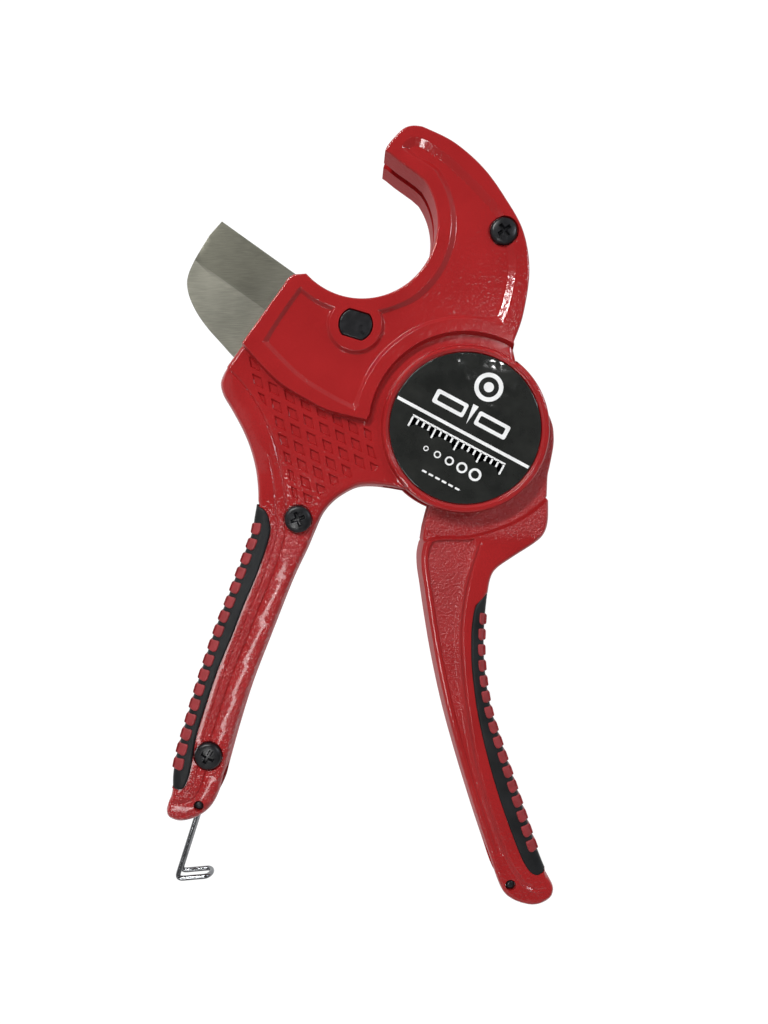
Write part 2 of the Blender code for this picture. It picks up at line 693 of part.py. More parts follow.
def moving_handle():
    outline = [
        *HANDLE_LEFT[:-1], *reversed(MOVING_GRIP_SIDE[1:]), *HANDLE_RIGHT[:-1],
        *HANDLE_STEP[:-1],
    ]
    body = plate("handle_body", [outline], -HANDLE_HALF, HANDLE_HALF)
    head = plate("handle_head", [head_outline()], -HEAD_HALF, HEAD_HALF)
    join(body, head)
    fork = plate(
        "fork_slot",
        [[
            *arc(HANDLE_AXIS, 23.8, 16.0, -108.0), (-8.6, -26.4), (-40.0, -26.4), (-40.0, 20.0),
            (20.0, 20.0),
        ]],
        -SLOT_HALF, SLOT_HALF,
    )
    bore = disc("head_bore", HANDLE_AXIS, PIVOT_PIN_RADIUS + GAP, -THROUGH, THROUGH)
    spring_seat = disc("handle_spring_seat", HANDLE_AXIS, 8.1, -7.0, -2.9)
    pawl_hole = disc(
        "drive_pin_hole", DRIVE_PAWL_AXIS, PAWL_PIN_RADIUS + GAP, -THROUGH, THROUGH, 24
    )
    pawl_spring_seat = disc("drive_spring_seat", DRIVE_PAWL_AXIS, 3.4, 1.0, 4.4, 32)
    catch_slot = plate(
        "catch_slot",
        [[(0, -126.4), (16.6, -126.4), (20.2, -129.6), (20.6, -145.0), (0, -145.0)]],
        -POCKET_HALF, POCKET_HALF,
    )
    catch_hole = disc(
        "catch_hole", CATCH_PIN_AXIS, CATCH_PIN_RADIUS + GAP, -8.0, THROUGH, 20
    )
    faces = [
        plate(
            f"moving_grip_face_{side}", [grip_band(MOVING_GRIP_SIDE, MOVING_GRIP_INNER)],
            *between(side, CORE_HALF, HALF_THICKNESS),
        )
        for side in (1, -1)
    ]
    wall = plate(
        "moving_grip_wall", [strip_of(MOVING_GRIP_SIDE, -2.0, CORE_START, -1, extra=WALL_EXTRA)],
        -THROUGH, THROUGH,
    )
    cut(body, fork, bore, spring_seat, pawl_hole, pawl_spring_seat, catch_slot, catch_hole, *faces)
    cut(body, wall)
    return piece(body, "moving_handle", red, handle_axis)


def block_outlines(side, inward, count, grow=0.0, reach=4.6):
    """The red blocks along a grip's outer side, each a rectangle square to it."""
    line = smooth(side, 4)
    lengths = [0.0]
    for a, b in zip(line, line[1:]):
        lengths.append(lengths[-1] + math.dist(a, b))
    first = (lengths[-1] - BLOCK_PITCH * (count - 1)) / 2
    loops = []
    for number in range(count):
        along_line = first + BLOCK_PITCH * number
        i = max(k for k, length in enumerate(lengths[:-1]) if length <= along_line)
        share = (along_line - lengths[i]) / (lengths[i + 1] - lengths[i])
        place = Vector(line[i]).lerp(Vector(line[i + 1]), share)
        along = (Vector(line[i + 1]) - Vector(line[i])).normalized()
        across = Vector((-along.y, along.x)) * inward
        half = BLOCK_LENGTH / 2 + grow
        corners = (
            (-half, -BLOCK_PROUD - grow), (half, -BLOCK_PROUD - grow),
            (half, reach + grow), (-half, reach + grow),
        )
        loops.append([tuple(place + along * u + across * v) for u, v in corners])
    return loops


def grip(name, side, inner, inward, count, reach, axis):
    """A rubber grip round the outer side of a handle, and the red strip whose blocks show in it."""
    rubber_body = plate(f"{name}_band", [grip_band(side, inner)], -GRIP_HALF, GRIP_HALF)
    core_half = CORE_HALF + GAP
    core = plate(
        f"{name}_core", [strip_of(side, GRIP_WALL, 14.0, inward, extra=(9.0, 9.0))], -core_half, core_half
    )
    windows = plate(
        f"{name}_windows", block_outlines(side, inward, count, 0.2, reach), -THROUGH, THROUGH
    )
    cut(rubber_body, core, windows)
    piece(rubber_body, name, rubber, axis)
    blocks = plate(
        f"{name}_block_bars", block_outlines(side, inward, count, 0.0, reach), -BLOCK_HALF, BLOCK_HALF
    )
    trimmed = plate(
        f"{name}_strip_core", [strip_of(side, STRIP_END, 14.0, inward)], -core_half, core_half
    )
    cut(blocks, trimmed)
    strip = plate(
        f"{name}_strip", [strip_of(side, STRIP_START, STRIP_END + 0.01, inward, 1)], -6.0, 6.0
    )
    join(strip, blocks)
    piece(strip, f"{name}_blocks", block_red, axis)


def drive_pawl():
    """The long pawl on the moving handle, lifted just clear of the teeth at rest."""
    outline = [
        (-31.3, 2.4), (-32.0, 0.4), (-31.4, -0.8), (-24.0, -4.2), (-8.0, -13.4), (-0.6, -18.0),
        *arc(DRIVE_PAWL_AXIS, 3.6, -150.0, 30.0), (-8.0, -7.8), (-22.0, -0.6), (-29.6, 2.6),
    ]
    bore = circle(DRIVE_PAWL_AXIS, PAWL_PIN_RADIUS + 0.2, 24)
    body = plate("drive_pawl_blank", [outline, bore], -BLADE_HALF, BLADE_HALF)
    piece(body, "drive_pawl", steel, drive_axis)
    pin = disc("drive_pin", DRIVE_PAWL_AXIS, PAWL_PIN_RADIUS, -5.8, 5.8, 24)
    piece(pin, "drive_pawl_pin", steel, handle_axis)


def holding_pawl():
    """The hooked pawl in the body that stops the blade from turning back."""
    nose = [
        polar(BLADE_AXIS, 28.2, -123.4), polar(BLADE_AXIS, 29.4, -119.6),
        polar(BLADE_AXIS, 32.4, -118.6),
    ]
    outline = [
        *reversed(nose), *arc(BLADE_AXIS, 30.2, -124.2, -140.0),
        *arc(HOLDING_PAWL_AXIS, 2.9, 60.0, 250.0), *arc(BLADE_AXIS, 33.2, -141.0, -120.0),
    ]
    bore = circle(HOLDING_PAWL_AXIS, PAWL_PIN_RADIUS + 0.2, 24)
    body = plate("holding_pawl_blank", [outline, bore], -BLADE_HALF, BLADE_HALF)
    piece(body, "holding_pawl", steel, holding_axis)
    pin = disc("holding_pin", HOLDING_PAWL_AXIS, PAWL_PIN_RADIUS, -6.0, 6.0, 24)
    piece(pin, "holding_pawl_pin", steel, base)


def latch_path():
    """Half of the latch wire: an eye round its pin, a leg and the hook, at the front."""
    eye_radius = LATCH_PIN_RADIUS + GAP + WIRE_RADIUS
    eye = arc(LATCH_AXIS, eye_radius, LATCH_SLOPE + 70, LATCH_SLOPE - 268, 24)
    corner = polar(LATCH_AXIS, LATCH_LEG, LATCH_SLOPE)
    leg_end = polar(corner, 2.0, LATCH_SLOPE + 180)
    hook_start = polar(corner, 2.0, 5.0)
    bend = [polar(corner, 0.83, (LATCH_SLOPE + 180 + 5.0) / 2)]
    hook_end = polar(corner, LATCH_HOOK - 1.5, 5.0)
    leg_top = polar(LATCH_AXIS, eye_radius + 3.0, LATCH_SLOPE)
    flat = [*eye, leg_top, leg_end, *bend, hook_start, hook_end]
    return [(x, y, LATCH_HALF_WIDTH) for x, y in flat], corner


def latch():
    front, corner = latch_path()
    turn = []
    for i in range(1, 8):
        angle = math.pi * i / 8
        reach = LATCH_HOOK - 1.5 + 1.5 * math.sin(angle)
        x, y = polar(corner, reach, 5.0)
        turn.append((x, y, LATCH_HALF_WIDTH * math.cos(angle)))
    back = [(x, y, -height) for x, y, height in reversed(front)]
    piece(wire("latch", [*front, *turn, *back], WIRE_RADIUS), "latch_wire", chrome, latch_axis)
    pin = disc("latch_pin_blank", LATCH_AXIS, LATCH_PIN_RADIUS, -8.6, PLATE_TOP, 20)
    piece(pin, "latch_pin", black_steel, base)
    catch = disc("catch_pin_blank", CATCH_PIN_AXIS, CATCH_PIN_RADIUS, -7.7, HANDLE_HALF, 20)
    piece(catch, "catch_pin", black_steel, handle_axis)


clear_scene()
part = new_collection("pipe_cutter")
cutters = new_collection("cutters")

red = new_material("red_enamel", BODY_RED)
rubber = new_material("grip_rubber", RUBBER)
block_red = new_material("grip_block_red", BLOCK_RED)
steel = new_material("brushed_steel", STEEL)
black_steel = new_material("black_steel", BLACK_STEEL)
chrome = new_material("chrome_wire", CHROME)
label_black = new_material("label_black", LABEL_BLACK)

base = axis_empty("body_frame", HANDLE_AXIS)
handle_axis = axis_empty("handle_axis", HANDLE_AXIS)
blade_axis = axis_empty("blade_axis", BLADE_AXIS)
drive_axis = axis_empty("drive_pawl_axis", DRIVE_PAWL_AXIS, handle_axis)
holding_axis = axis_empty("holding_pawl_axis", HOLDING_PAWL_AXIS)
latch_axis = axis_empty("latch_axis", LATCH_AXIS)

front_shell()
back_shell()
shell_screws()
blade()
blade_pivot()
pivot_pieces()
moving_handle()
drive_pawl()
holding_pawl()
springs()
grip("fixed_grip", FIXED_GRIP_SIDE, FIXED_GRIP_INNER, 1, 17, 2.8, base)
grip("moving_grip", MOVING_GRIP_SIDE, MOVING_GRIP_INNER, -1, 16, 2.8, handle_axis)
latch()
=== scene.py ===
"""Looks of the ratcheting pipe cutter: enamelled halves, rubber grips, ground blade and label.

Outlines and heights are in millimetres and become metres as each mesh is made. X and Y are measured
from the moving handle's axis, and heights from the middle plane between the two body halves. Each
casting is a relief: one outline, a height function for each face, and lines that the mesh follows.
"""

import math

import bmesh
import bpy
import numpy as np
from mathutils import Matrix, Vector
from mathutils.geometry import delaunay_2d_cdt


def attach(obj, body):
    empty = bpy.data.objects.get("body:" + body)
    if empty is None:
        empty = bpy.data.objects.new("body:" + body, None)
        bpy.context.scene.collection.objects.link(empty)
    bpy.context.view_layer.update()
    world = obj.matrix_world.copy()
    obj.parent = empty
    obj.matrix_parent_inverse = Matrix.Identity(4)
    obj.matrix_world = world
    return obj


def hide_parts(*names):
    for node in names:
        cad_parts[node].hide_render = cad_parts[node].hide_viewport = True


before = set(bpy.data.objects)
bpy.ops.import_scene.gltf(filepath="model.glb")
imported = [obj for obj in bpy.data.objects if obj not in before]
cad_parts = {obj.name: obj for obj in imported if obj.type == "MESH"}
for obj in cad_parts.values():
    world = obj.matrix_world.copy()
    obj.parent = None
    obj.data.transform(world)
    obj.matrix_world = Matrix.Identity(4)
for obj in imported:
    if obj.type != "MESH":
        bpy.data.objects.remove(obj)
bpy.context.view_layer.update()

MM = 0.001
MIDDLE = 11.0
FINE = 0.8
SWEEP = 3.0
CHUNK = 4000
SMOOTH_LIMIT = math.radians(38)

# Heights of the castings' faces above the middle plane
JAW_TOP = 11.0
RECESS_FLOOR = 9.8
PLATE_TOP = 8.9
LABEL_SEAT = 9.8
SPLIT = 0.15
SLOT = 1.6
POCKET = 6.4
CORE_HALF = 8.0
HANDLE_TOP = 9.4
HEAD_TOP = 6.0
GRIP_TOP = 9.8
BLOCK_TOP = 10.2
BLADE_HALF = 1.2
EDGE_HALF = 0.12
PIN_DROP = 0.3

# Steps, roundings and grooves of the castings
JAW_STEP = 0.75
JAW_EDGE = 0.7
SHELL_EDGE = 1.5
BOSS_STEP = 1.1
RING_STEP = 0.8
LIP_WIDTH = 1.15
LIP_STEP = 0.75
LIP_DROP = 0.5
LABEL_GAP = 0.34
LABEL_WALL = 0.1
RIDGE_ONE_HALF = 0.5
RIDGE_ONE_DEPTH = 0.3
RIDGE_TWO_HALF = 0.55
RIDGE_TWO_DEPTH = 0.34
GRIP_WALL = 0.12
GRIP_MARGIN = 0.05
SEAT_RADIUS = 4.42
STEEP = 0.04
HEAD_STEP = 0.8
HEAD_ROUND = 0.8
HANDLE_EDGE = 1.3
PANEL_DEPTH = 0.75
CREASE_HALF = 0.35
CREASE_RISE = 0.2
CREASE_GAP = 0.75
CREASE_GROOVE_HALF = 0.5
CREASE_GROOVE_DEPTH = 0.3
FAINT_PEEL = 0.12

# Radii of bores, pins and heads
PIVOT_BORE = 5.3
BLADE_PIN_BORE = 5.15
BLADE_PIN_FLAT = 4.2
LATCH_BORE = 1.55
SCREW_BORE = 2.3
SCREW_HEAD = 4.0
PAWL_BORE = 2.1
LATCH_PIN = 1.2
CATCH_PIN = 1.3
CATCH_BORE = 1.6

# Axes and centres
AXIS = (0.0, 0.0)
BLADE_AXIS = (-32.4, 30.6)
LATCH_AXIS = (-79.1, -112.2)
CATCH_AXIS = (13.6, -135.6)
HOOK_SCREW = (11.4, 58.3)
UPPER_SCREW = (-49.5, -26.9)
LOWER_SCREW = (-76.2, -97.3)
SCREWS = (
    ("hook_screw", HOOK_SCREW, 9.2, 35.0), ("upper_handle_screw", UPPER_SCREW, 8.4, 20.0),
    ("lower_handle_screw", LOWER_SCREW, 8.0, 60.0),
)
PAWL_AXIS = (2.95, -16.7)
JAW_CENTRE = (-30.5, 60.6)
JAW_RADIUS = 22.2
JAW_START = -138.0
JAW_END = 34.0
RECESS_RADIUS = JAW_RADIUS + 3.9
RING_RADIUS = 25.0
RING_START = 53.0
RING_END = -134.0
LABEL_RADIUS = 22.4
GROOVE_RADIUS = 28.0
BOSS_RADIUS = 7.6
CORE_START = 2.9

# Outlines that the halves and the handle share with the frame
HOOK_OUTER = [
    (-23.7, 81.9), (-23.1, 83.4), (-20.9, 86.1), (-18.4, 88.5), (-16.2, 89.4), (-13.8, 89.4),
    (-11.2, 88.6), (-3.0, 84.4), (5.4, 77.0), (12.0, 67.9), (17.2, 58.2), (19.0, 46.6),
    (17.2, 33.8), (14.4, 25.6),
]
NECK = [
    (-17.9, -17.9), (-21.5, -17.3), (-26.9, -16.7), (-31.5, -17.0), (-35.5, -18.8), (-39.3, -21.5),
    (-42.5, -25.3), (-44.9, -30.5), (-47.3, -36.2), (-51.9, -46.0), (-58.3, -62.2),
    (-64.4, -78.0), (-68.8, -92.0), (-72.2, -104.3),
]
HANDLE_END = [
    (-72.2, -104.3), (-73.1, -107.8), (-74.7, -111.3), (-76.4, -113.5), (-78.6, -115.2),
    (-80.9, -116.3), (-83.7, -117.0), (-85.9, -116.9), (-88.1, -115.9), (-88.9, -114.1),
    (-88.3, -111.5), (-87.4, -109.2), (-87.0, -106.4),
]
FIXED_GRIP_SIDE = [
    (-61.9, -22.4), (-62.6, -26.3), (-63.4, -31.0), (-66.3, -38.9), (-70.6, -50.3),
    (-73.9, -58.6), (-77.0, -67.6), (-80.2, -77.5), (-83.1, -87.3), (-85.5, -95.6),
    (-86.8, -102.0), (-87.0, -106.4),
]
FIXED_GRIP_INNER = [
    (-61.4, -23.1), (-59.4, -24.2), (-58.1, -27.2), (-58.0, -32.0), (-61.7, -43.3), (-65.7, -52.8),
    (-68.8, -60.9), (-73.1, -71.2), (-77.2, -83.3), (-79.8, -91.9), (-81.2, -100.0),
    (-82.2, -104.2), (-83.5, -106.7), (-85.0, -107.3), (-86.7, -106.9),
]
BODY_LEFT = [
    (-61.5, -21.4), (-61.7, -17.3), (-62.5, -11.7), (-64.1, -5.6), (-66.5, 0.2), (-69.7, 6.1),
    (-72.2, 10.4), (-73.0, 14.0), (-72.0, 17.0),
]
BODY_SHOULDER = [(-53.6, 42.6), (-52.4, 44.4), (-50.8, 45.4), (-48.8, 45.6)]
JAW_LOWER = [(-28.8, 1.8), (-40.3, 4.6), (-47.5, 8.2), (-54.4, 12.4), (-59.8, 17.4), (-65.2, 23.4)]
JAW_LOWER_END = (-67.6, 26.4)
RECESS_OUTER = [
    (-19.3, 82.5), (-18.6, 84.0), (-16.9, 85.5), (-15.1, 86.2), (-11.4, 85.2), (-5.9, 81.5),
    (-0.3, 76.6), (5.3, 71.0), (10.7, 64.8), (13.6, 58.4), (15.2, 50.5), (15.0, 44.0),
    (13.2, 35.8), (11.3, 31.0),
]
RECESS_LOWER = [
    (-32.4, 4.9), (-40.9, 9.2), (-50.1, 15.3), (-60.2, 25.4), (-54.6, 34.0), (-49.4, 41.3),
]
JAW_TIP = [(-14.2, 74.9), (-17.0, 76.9), (-19.8, 78.9), (-22.6, 81.2)]
RECESS_TIP = [(-9.2, 75.9), (-12.4, 78.3), (-17.2, 81.1)]
HEAD_EDGE = [
    (22.0, 9.6), (24.2, 6.9), (25.2, 5.6), (26.2, 3.9), (27.1, 1.2), (27.4, -1.4), (27.4, -4.1),
    (26.9, -7.4), (26.2, -10.8), (25.6, -13.6), (25.4, -16.8), (25.3, -20.0),
]
HANDLE_LEFT = [
    (-12.0, -33.2), (-12.9, -37.4), (-12.8, -42.0), (-12.0, -47.4), (-10.6, -57.0), (-8.3, -70.4),
    (-5.1, -85.1), (-1.1, -99.8), (3.6, -115.2), (7.7, -127.6), (11.0, -136.8), (14.3, -140.1),
    (19.1, -141.7), (22.6, -141.4), (25.6, -139.6), (26.5, -137.2), (25.9, -135.0),
    (24.2, -132.6), (24.0, -130.6),
]
MOVING_GRIP_SIDE = [
    (7.0, -48.8), (6.2, -56.7), (5.9, -65.2), (6.5, -74.0), (8.0, -83.1), (10.6, -91.8),
    (14.0, -102.0), (17.4, -112.2), (20.8, -122.4), (23.0, -128.2), (24.0, -130.6),
]
MOVING_GRIP_INNER = [
    (6.3, -49.5), (3.4, -52.6), (2.2, -57.5), (1.9, -63.6), (2.2, -72.3), (3.9, -85.1),
    (7.3, -99.7), (11.5, -113.4), (16.3, -126.2), (19.0, -131.2), (21.4, -132.6), (23.6, -131.6),
]
HANDLE_RIGHT = [
    (7.0, -48.8), (7.8, -44.6), (9.6, -41.6), (14.9, -37.9), (20.8, -34.1), (23.6, -31.4),
    (24.9, -27.4), (25.0, -20.4),
]
HANDLE_STEP = [
    (25.0, -20.4), (22.3, -22.6), (16.4, -26.7), (9.0, -29.8), (1.5, -31.8), (-5.3, -31.9),
    (-9.0, -32.3), (-12.0, -33.2),
]

# Lines and fields of the castings' decoration
BAND_LINE = [
    (-71.8, 20.4), (-70.1, 17.7), (-65.7, 13.0), (-61.4, 6.7), (-57.6, -1.3), (-55.3, -9.2),
    (-53.8, -16.8), (-53.0, -22.4), (-53.2, -28.0),
]
RIDGE_LINE = [(-58.6, -7.0), (-57.2, -13.0), (-56.5, -19.0), (-56.0, -25.5)]
KNURL_FIELD = [
    (-66.6, 22.2), (-64.8, 18.6), (-60.9, 9.5), (-57.1, 3.6), (-55.4, -2.0), (-53.9, -7.0),
    (-52.6, -12.5), (-51.6, -17.5), (-50.6, -21.5), (-48.2, -22.6), (-45.2, -22.0), (-41.5, -18.8),
    (-37.0, -15.9), (-30.5, -13.4), (-26.0, -12.4),
]
KNURL_ALONG = (4.73, -2.29)
KNURL_DOWN = (0.95, -5.12)
KNURL_CENTRE = (-49.2, -5.8)
KNURL_SHARE = (0.61, 0.66)
KNURL_DEPTH = 0.62
KNURL_WALL = 0.36
CREASE = [
    (4.5, -32.8), (0.3, -46.5), (-1.4, -60.2), (-0.8, -73.8), (1.2, -89.0), (3.8, -102.7),
    (8.1, -116.4), (12.2, -127.5), (15.8, -133.6),
]
CREASE_END = [(18.0, -136.3), (21.2, -137.7), (24.4, -137.2)]

# Blade
HUB_RADIUS = 7.2
BLADE_BORE = 5.15
TOOTH_ROOT = 25.0
TOOTH_TIP = 27.5
TOOTH_PITCH = 8.0
FIRST_TOOTH = -124.0
TOOTH_COUNT = 18
EDGE_SLOPE = 144.4
EDGE_LEAD = 3.8
EDGE_LENGTH = 53.2
BEVEL_WIDTH = 14.5
BLADE_END = [
    (-77.1, 60.4), (-79.4, 56.5), (-82.0, 51.8), (-83.6, 48.0), (-84.0, 44.9),
    (-83.2, 41.0), (-81.1, 36.5), (-78.0, 32.0), (-73.8, 27.3), (-69.8, 22.9), (-66.2, 20.2),
    (-61.8, 18.6), (-57.0, 18.4),
]


# ---------------------------------------------------------------- plane geometry

def polar(centre, radius, degrees):
    angle = math.radians(degrees)
    return (centre[0] + radius * math.cos(angle), centre[1] + radius * math.sin(angle))


def arc(centre, radius, start, end, step=SWEEP):
    count = max(2, math.ceil(abs(end - start) / step))
    return [polar(centre, radius, start + (end - start) * i / count) for i in range(count + 1)]


def circle(centre, radius, sides=96):
    return arc(centre, radius, 0.0, 360.0 - 360.0 / sides, 360.0 / sides)


def smooth(points, spacing=FINE):
    """A Catmull-Rom curve through the points, sampled about every spacing."""
    ends = [points[0], *points, points[-1]]
    curve = []
    for a, b, c, d in zip(ends, ends[1:], ends[2:], ends[3:]):
        steps = max(1, round(math.dist(b, c) / spacing))
        for i in range(steps):
            t = i / steps
            curve.append(tuple(
                0.5 * (2 * q + (r - p) * t + (2 * p - 5 * q + 4 * r - s) * t * t
                       + (3 * q - p - 3 * r + s) * t ** 3)
                for p, q, r, s in zip(a, b, c, d)
            ))
    return [*curve, points[-1]]


def area_of(loop):
    return sum(a[0] * b[1] - b[0] * a[1] for a, b in zip(loop, [*loop[1:], loop[0]])) / 2


def leftward(loop):
    """The loop run counter-clockwise, without points that repeat."""
    kept = [p for p, q in zip(loop, [*loop[1:], loop[0]]) if math.dist(p, q) > 0.02]
    return kept if area_of(kept) > 0 else kept[::-1]


def offset(points, distance, closed=False):
    """The line moved to its left by a distance, which may differ from point to point."""
    line = np.array(points, float)
    if closed:
        before, after = np.roll(line, 1, 0), np.roll(line, -1, 0)
    else:
        before, after = np.vstack([line[:1], line[:-1]]), np.vstack([line[1:], line[-1:]])
    along = after - before
    along /= np.maximum(np.linalg.norm(along, axis=1), 1e-9)[:, None]
    sideways = np.column_stack([-along[:, 1], along[:, 0]])
    amount = np.broadcast_to(np.asarray(distance, float), (len(line),))
    return [tuple(p) for p in line + sideways * amount[:, None]]


def nearest(points, line, closed=False):
    """Distance from each point to a line, and the place along it counted in segments."""
    start = np.array(line, float)
    end = np.roll(start, -1, 0)
    if not closed:
        start, end = start[:-1], end[:-1]
    along = end - start
    length_squared = np.maximum((along ** 2).sum(1), 1e-12)
    best = np.empty(len(points))
    place = np.empty(len(points))
    for first in range(0, len(points), CHUNK):
        part = points[first:first + CHUNK]
        dx = part[:, 0, None] - start[:, 0]
        dy = part[:, 1, None] - start[:, 1]
        t = np.clip((dx * along[:, 0] + dy * along[:, 1]) / length_squared, 0, 1)
        squared = (dx - t * along[:, 0]) ** 2 + (dy - t * along[:, 1]) ** 2
        index = squared.argmin(1)
        rows = np.arange(len(part))
        best[first:first + CHUNK] = np.sqrt(squared[rows, index])
        place[first:first + CHUNK] = index + t[rows, index]
    return best, place


def inside(points, loop):
    odd = np.zeros(len(points), bool)
    x, y = points[:, 0], points[:, 1]
    for (x0, y0), (x1, y1) in zip(loop, [*loop[1:], loop[0]]):
        if y0 != y1:
            odd ^= ((y0 > y) != (y1 > y)) & (x < (x1 - x0) * (y - y0) / (y1 - y0) + x0)
    return odd


def depth_inside(points, loop):
    """Distance to the loop, below zero outside it, and the place along it."""
    distance, place = nearest(points, loop, True)
    return np.where(inside(points, loop), distance, -distance), place


def ease(t):
    t = np.clip(t, 0, 1)
    return t * t * (3 - 2 * t)


def from_centre(points, centre):
    return np.hypot(points[:, 0] - centre[0], points[:, 1] - centre[1])


SLOPE_SHARES = (0.0, 0.09, 0.18, 0.5, 0.82, 0.91, 1.0)
SLOPE_CORNER = 0.18


def incline(t):
    """From 0 to 1 in a straight slope with a short curve at each end."""
    t = np.clip(t, 0, 1)
    steepness = 1 / (1 - SLOPE_CORNER)
    foot = steepness * t ** 2 / (2 * SLOPE_CORNER)
    head = 1 - steepness * (1 - t) ** 2 / (2 * SLOPE_CORNER)
    middle = steepness * (t - SLOPE_CORNER / 2)
    return np.where(t < SLOPE_CORNER, foot, np.where(t > 1 - SLOPE_CORNER, head, middle))


def slope(points, loop, width):
    """0 outside the loop, rising to 1 a width inside it."""
    depth, place = depth_inside(points, loop)
    if np.ndim(width):
        width = np.interp(place, np.arange(len(loop) + 1), [*width, width[0]])
    return incline(depth / width)


def slope_lines(loop, width, shares=SLOPE_SHARES):
    return [(offset(loop, np.asarray(width) * share, True), True) for share in shares]


def vee(points, line, half, depth):
    """A narrow rounded groove along an open line, running out at its ends."""
    distance, place = nearest(points, line)
    length = len(line) - 1
    fade = ease(np.minimum(place, length - place) / 6.0)
    return depth * fade * ease(1 - distance / half)


def vee_lines(line, half):
    return [(offset(line, half * share), False) for share in (-1, -0.6, -0.25, 0, 0.25, 0.6, 1)]


def rounding(depth, radius):
    """How far a rounded edge lies below the face, by the distance from the outline."""
    inward = np.clip(radius - depth, 0, radius)
    return radius - np.sqrt(np.maximum(radius ** 2 - inward ** 2, 0))


def rounding_lines(loop, radius):
    shares = [1 - math.sin(math.radians(angle)) for angle in (75, 60, 45, 30, 15, 0)]
    return [(offset(loop, radius * share, True), True) for share in shares]


# ---------------------------------------------------------------- reliefs

def hexagonal_grid(loop, spacing):
    low, high = np.min(loop, 0), np.max(loop, 0)
    rows = []
    for number, y in enumerate(np.arange(low[1], high[1], spacing * 0.87)):
        x = np.arange(low[0] + (number % 2) * spacing / 2, high[0], spacing)
        rows.append(np.column_stack([x, np.full(len(x), y)]))
    points = np.vstack(rows)
    return points[inside(points, loop)]


def triangles(loops, lines, spacing):
    """Triangles of the field inside the first loop and outside the others, following the lines."""
    verts, edges = [], []
    for line, closed in [*((loop, True) for loop in loops), *lines]:
        first = len(verts)
        verts += [tuple(p) for p in line]
        edges += [(i, i + 1) for i in range(first, len(verts) - 1)]
        if closed:
            edges.append((len(verts) - 1, first))
    grid = hexagonal_grid(loops[0], spacing)
    if len(grid):
        taken = np.array(verts)
        free = np.ones(len(grid), bool)
        for first in range(0, len(grid), 500):
            part = grid[first:first + 500]
            gap = ((part[:, None, :] - taken[None, :, :]) ** 2).sum(2).min(1)
            free[first:first + 500] = gap > (0.45 * spacing) ** 2
        verts += [tuple(p) for p in grid[free]]
    made = delaunay_2d_cdt([Vector(v) for v in verts], edges, [], 0, 1e-4, False)
    points = np.array([tuple(v) for v in made[0]])
    faces = np.array([f for f in made[2] if len(f) == 3])
    middle = points[faces].mean(1)
    keep = inside(middle, loops[0])
    for hole in loops[1:]:
        keep &= ~inside(middle, hole)
    faces = faces[keep]
    a, b, c = (points[faces[:, i]] for i in range(3))
    area = (b[:, 0] - a[:, 0]) * (c[:, 1] - a[:, 1]) - (c[:, 0] - a[:, 0]) * (b[:, 1] - a[:, 1])
    faces[area < 0] = faces[area < 0][:, ::-1]
    used, flat = np.unique(faces, return_inverse=True)
    return points[used], flat.reshape(-1, 3)


def rim_chains(points, faces, loops):
    """The mesh's border points on each loop, in the order in which they lie along it."""
    sides = np.vstack([faces[:, [0, 1]], faces[:, [1, 2]], faces[:, [2, 0]]])
    ordered = np.sort(sides, 1)
    unique, count = np.unique(ordered, axis=0, return_counts=True)
    border = np.unique(unique[count == 1])
    distances, places = zip(*(nearest(points[border], loop, True) for loop in loops))
    owner = np.argmin(distances, 0)
    chains = []
    for number, place in enumerate(places):
        mine = owner == number
        order = np.argsort(place[mine])
        chains.append((border[mine][order], place[mine][order]))
    return chains


def lace(upper, lower, length):
    """Triangles of the wall between two chains of border points along the same loop."""
    (top, top_place), (bottom, bottom_place) = upper, lower
    faces = []
    i = j = 0
    while i < len(top) or j < len(bottom):
        next_top = top_place[i + 1] if i + 1 < len(top) else length + i - len(top) + 1
        next_bottom = bottom_place[j + 1] if j + 1 < len(bottom) else length + j - len(bottom) + 1
        here, there = top[i % len(top)], bottom[j % len(bottom)]
        if j >= len(bottom) or (i < len(top) and next_top <= next_bottom):
            faces.append((here, there, top[(i + 1) % len(top)]))
            i += 1
        else:
            faces.append((here, there, bottom[(j + 1) % len(bottom)]))
            j += 1
    return faces


def relief(name, loops, top, bottom, top_lines=(), bottom_lines=(), spacing=2.2, coarse=6.0):
    """A closed solid between two height functions over a field with holes."""
    loops = [leftward(loop) for loop in loops]
    high_points, high_faces = triangles(loops, top_lines, spacing)
    low_points, low_faces = triangles(loops, bottom_lines, coarse)
    shift = len(high_points)
    upper = rim_chains(high_points, high_faces, loops)
    lower = rim_chains(low_points, low_faces, loops)
    walls = []
    for loop, above, below in zip(loops, upper, lower):
        walls += lace(above, (below[0] + shift, below[1]), len(loop))
    verts = np.vstack([
        np.column_stack([high_points, top(high_points)]),
        np.column_stack([low_points, bottom(low_points)]),
    ])
    faces = [*map(tuple, high_faces), *map(tuple, low_faces[:, ::-1] + shift), *walls]
    verts[:, 2] += MIDDLE
    mesh = bpy.data.meshes.new(name)
    mesh.from_pydata((verts * MM).tolist(), [], faces)
    form = bmesh.new()
    form.from_mesh(mesh)
    bmesh.ops.remove_doubles(form, verts=form.verts, dist=1e-7)
    bmesh.ops.dissolve_degenerate(form, edges=form.edges, dist=1e-8)
    bmesh.ops.recalc_face_normals(form, faces=form.faces)
    form.to_mesh(mesh)
    form.free()
    return new_object(name, mesh)


def new_object(name, data):
    obj = bpy.data.objects.new(name, data)
    bpy.context.scene.collection.objects.link(obj)
    return obj


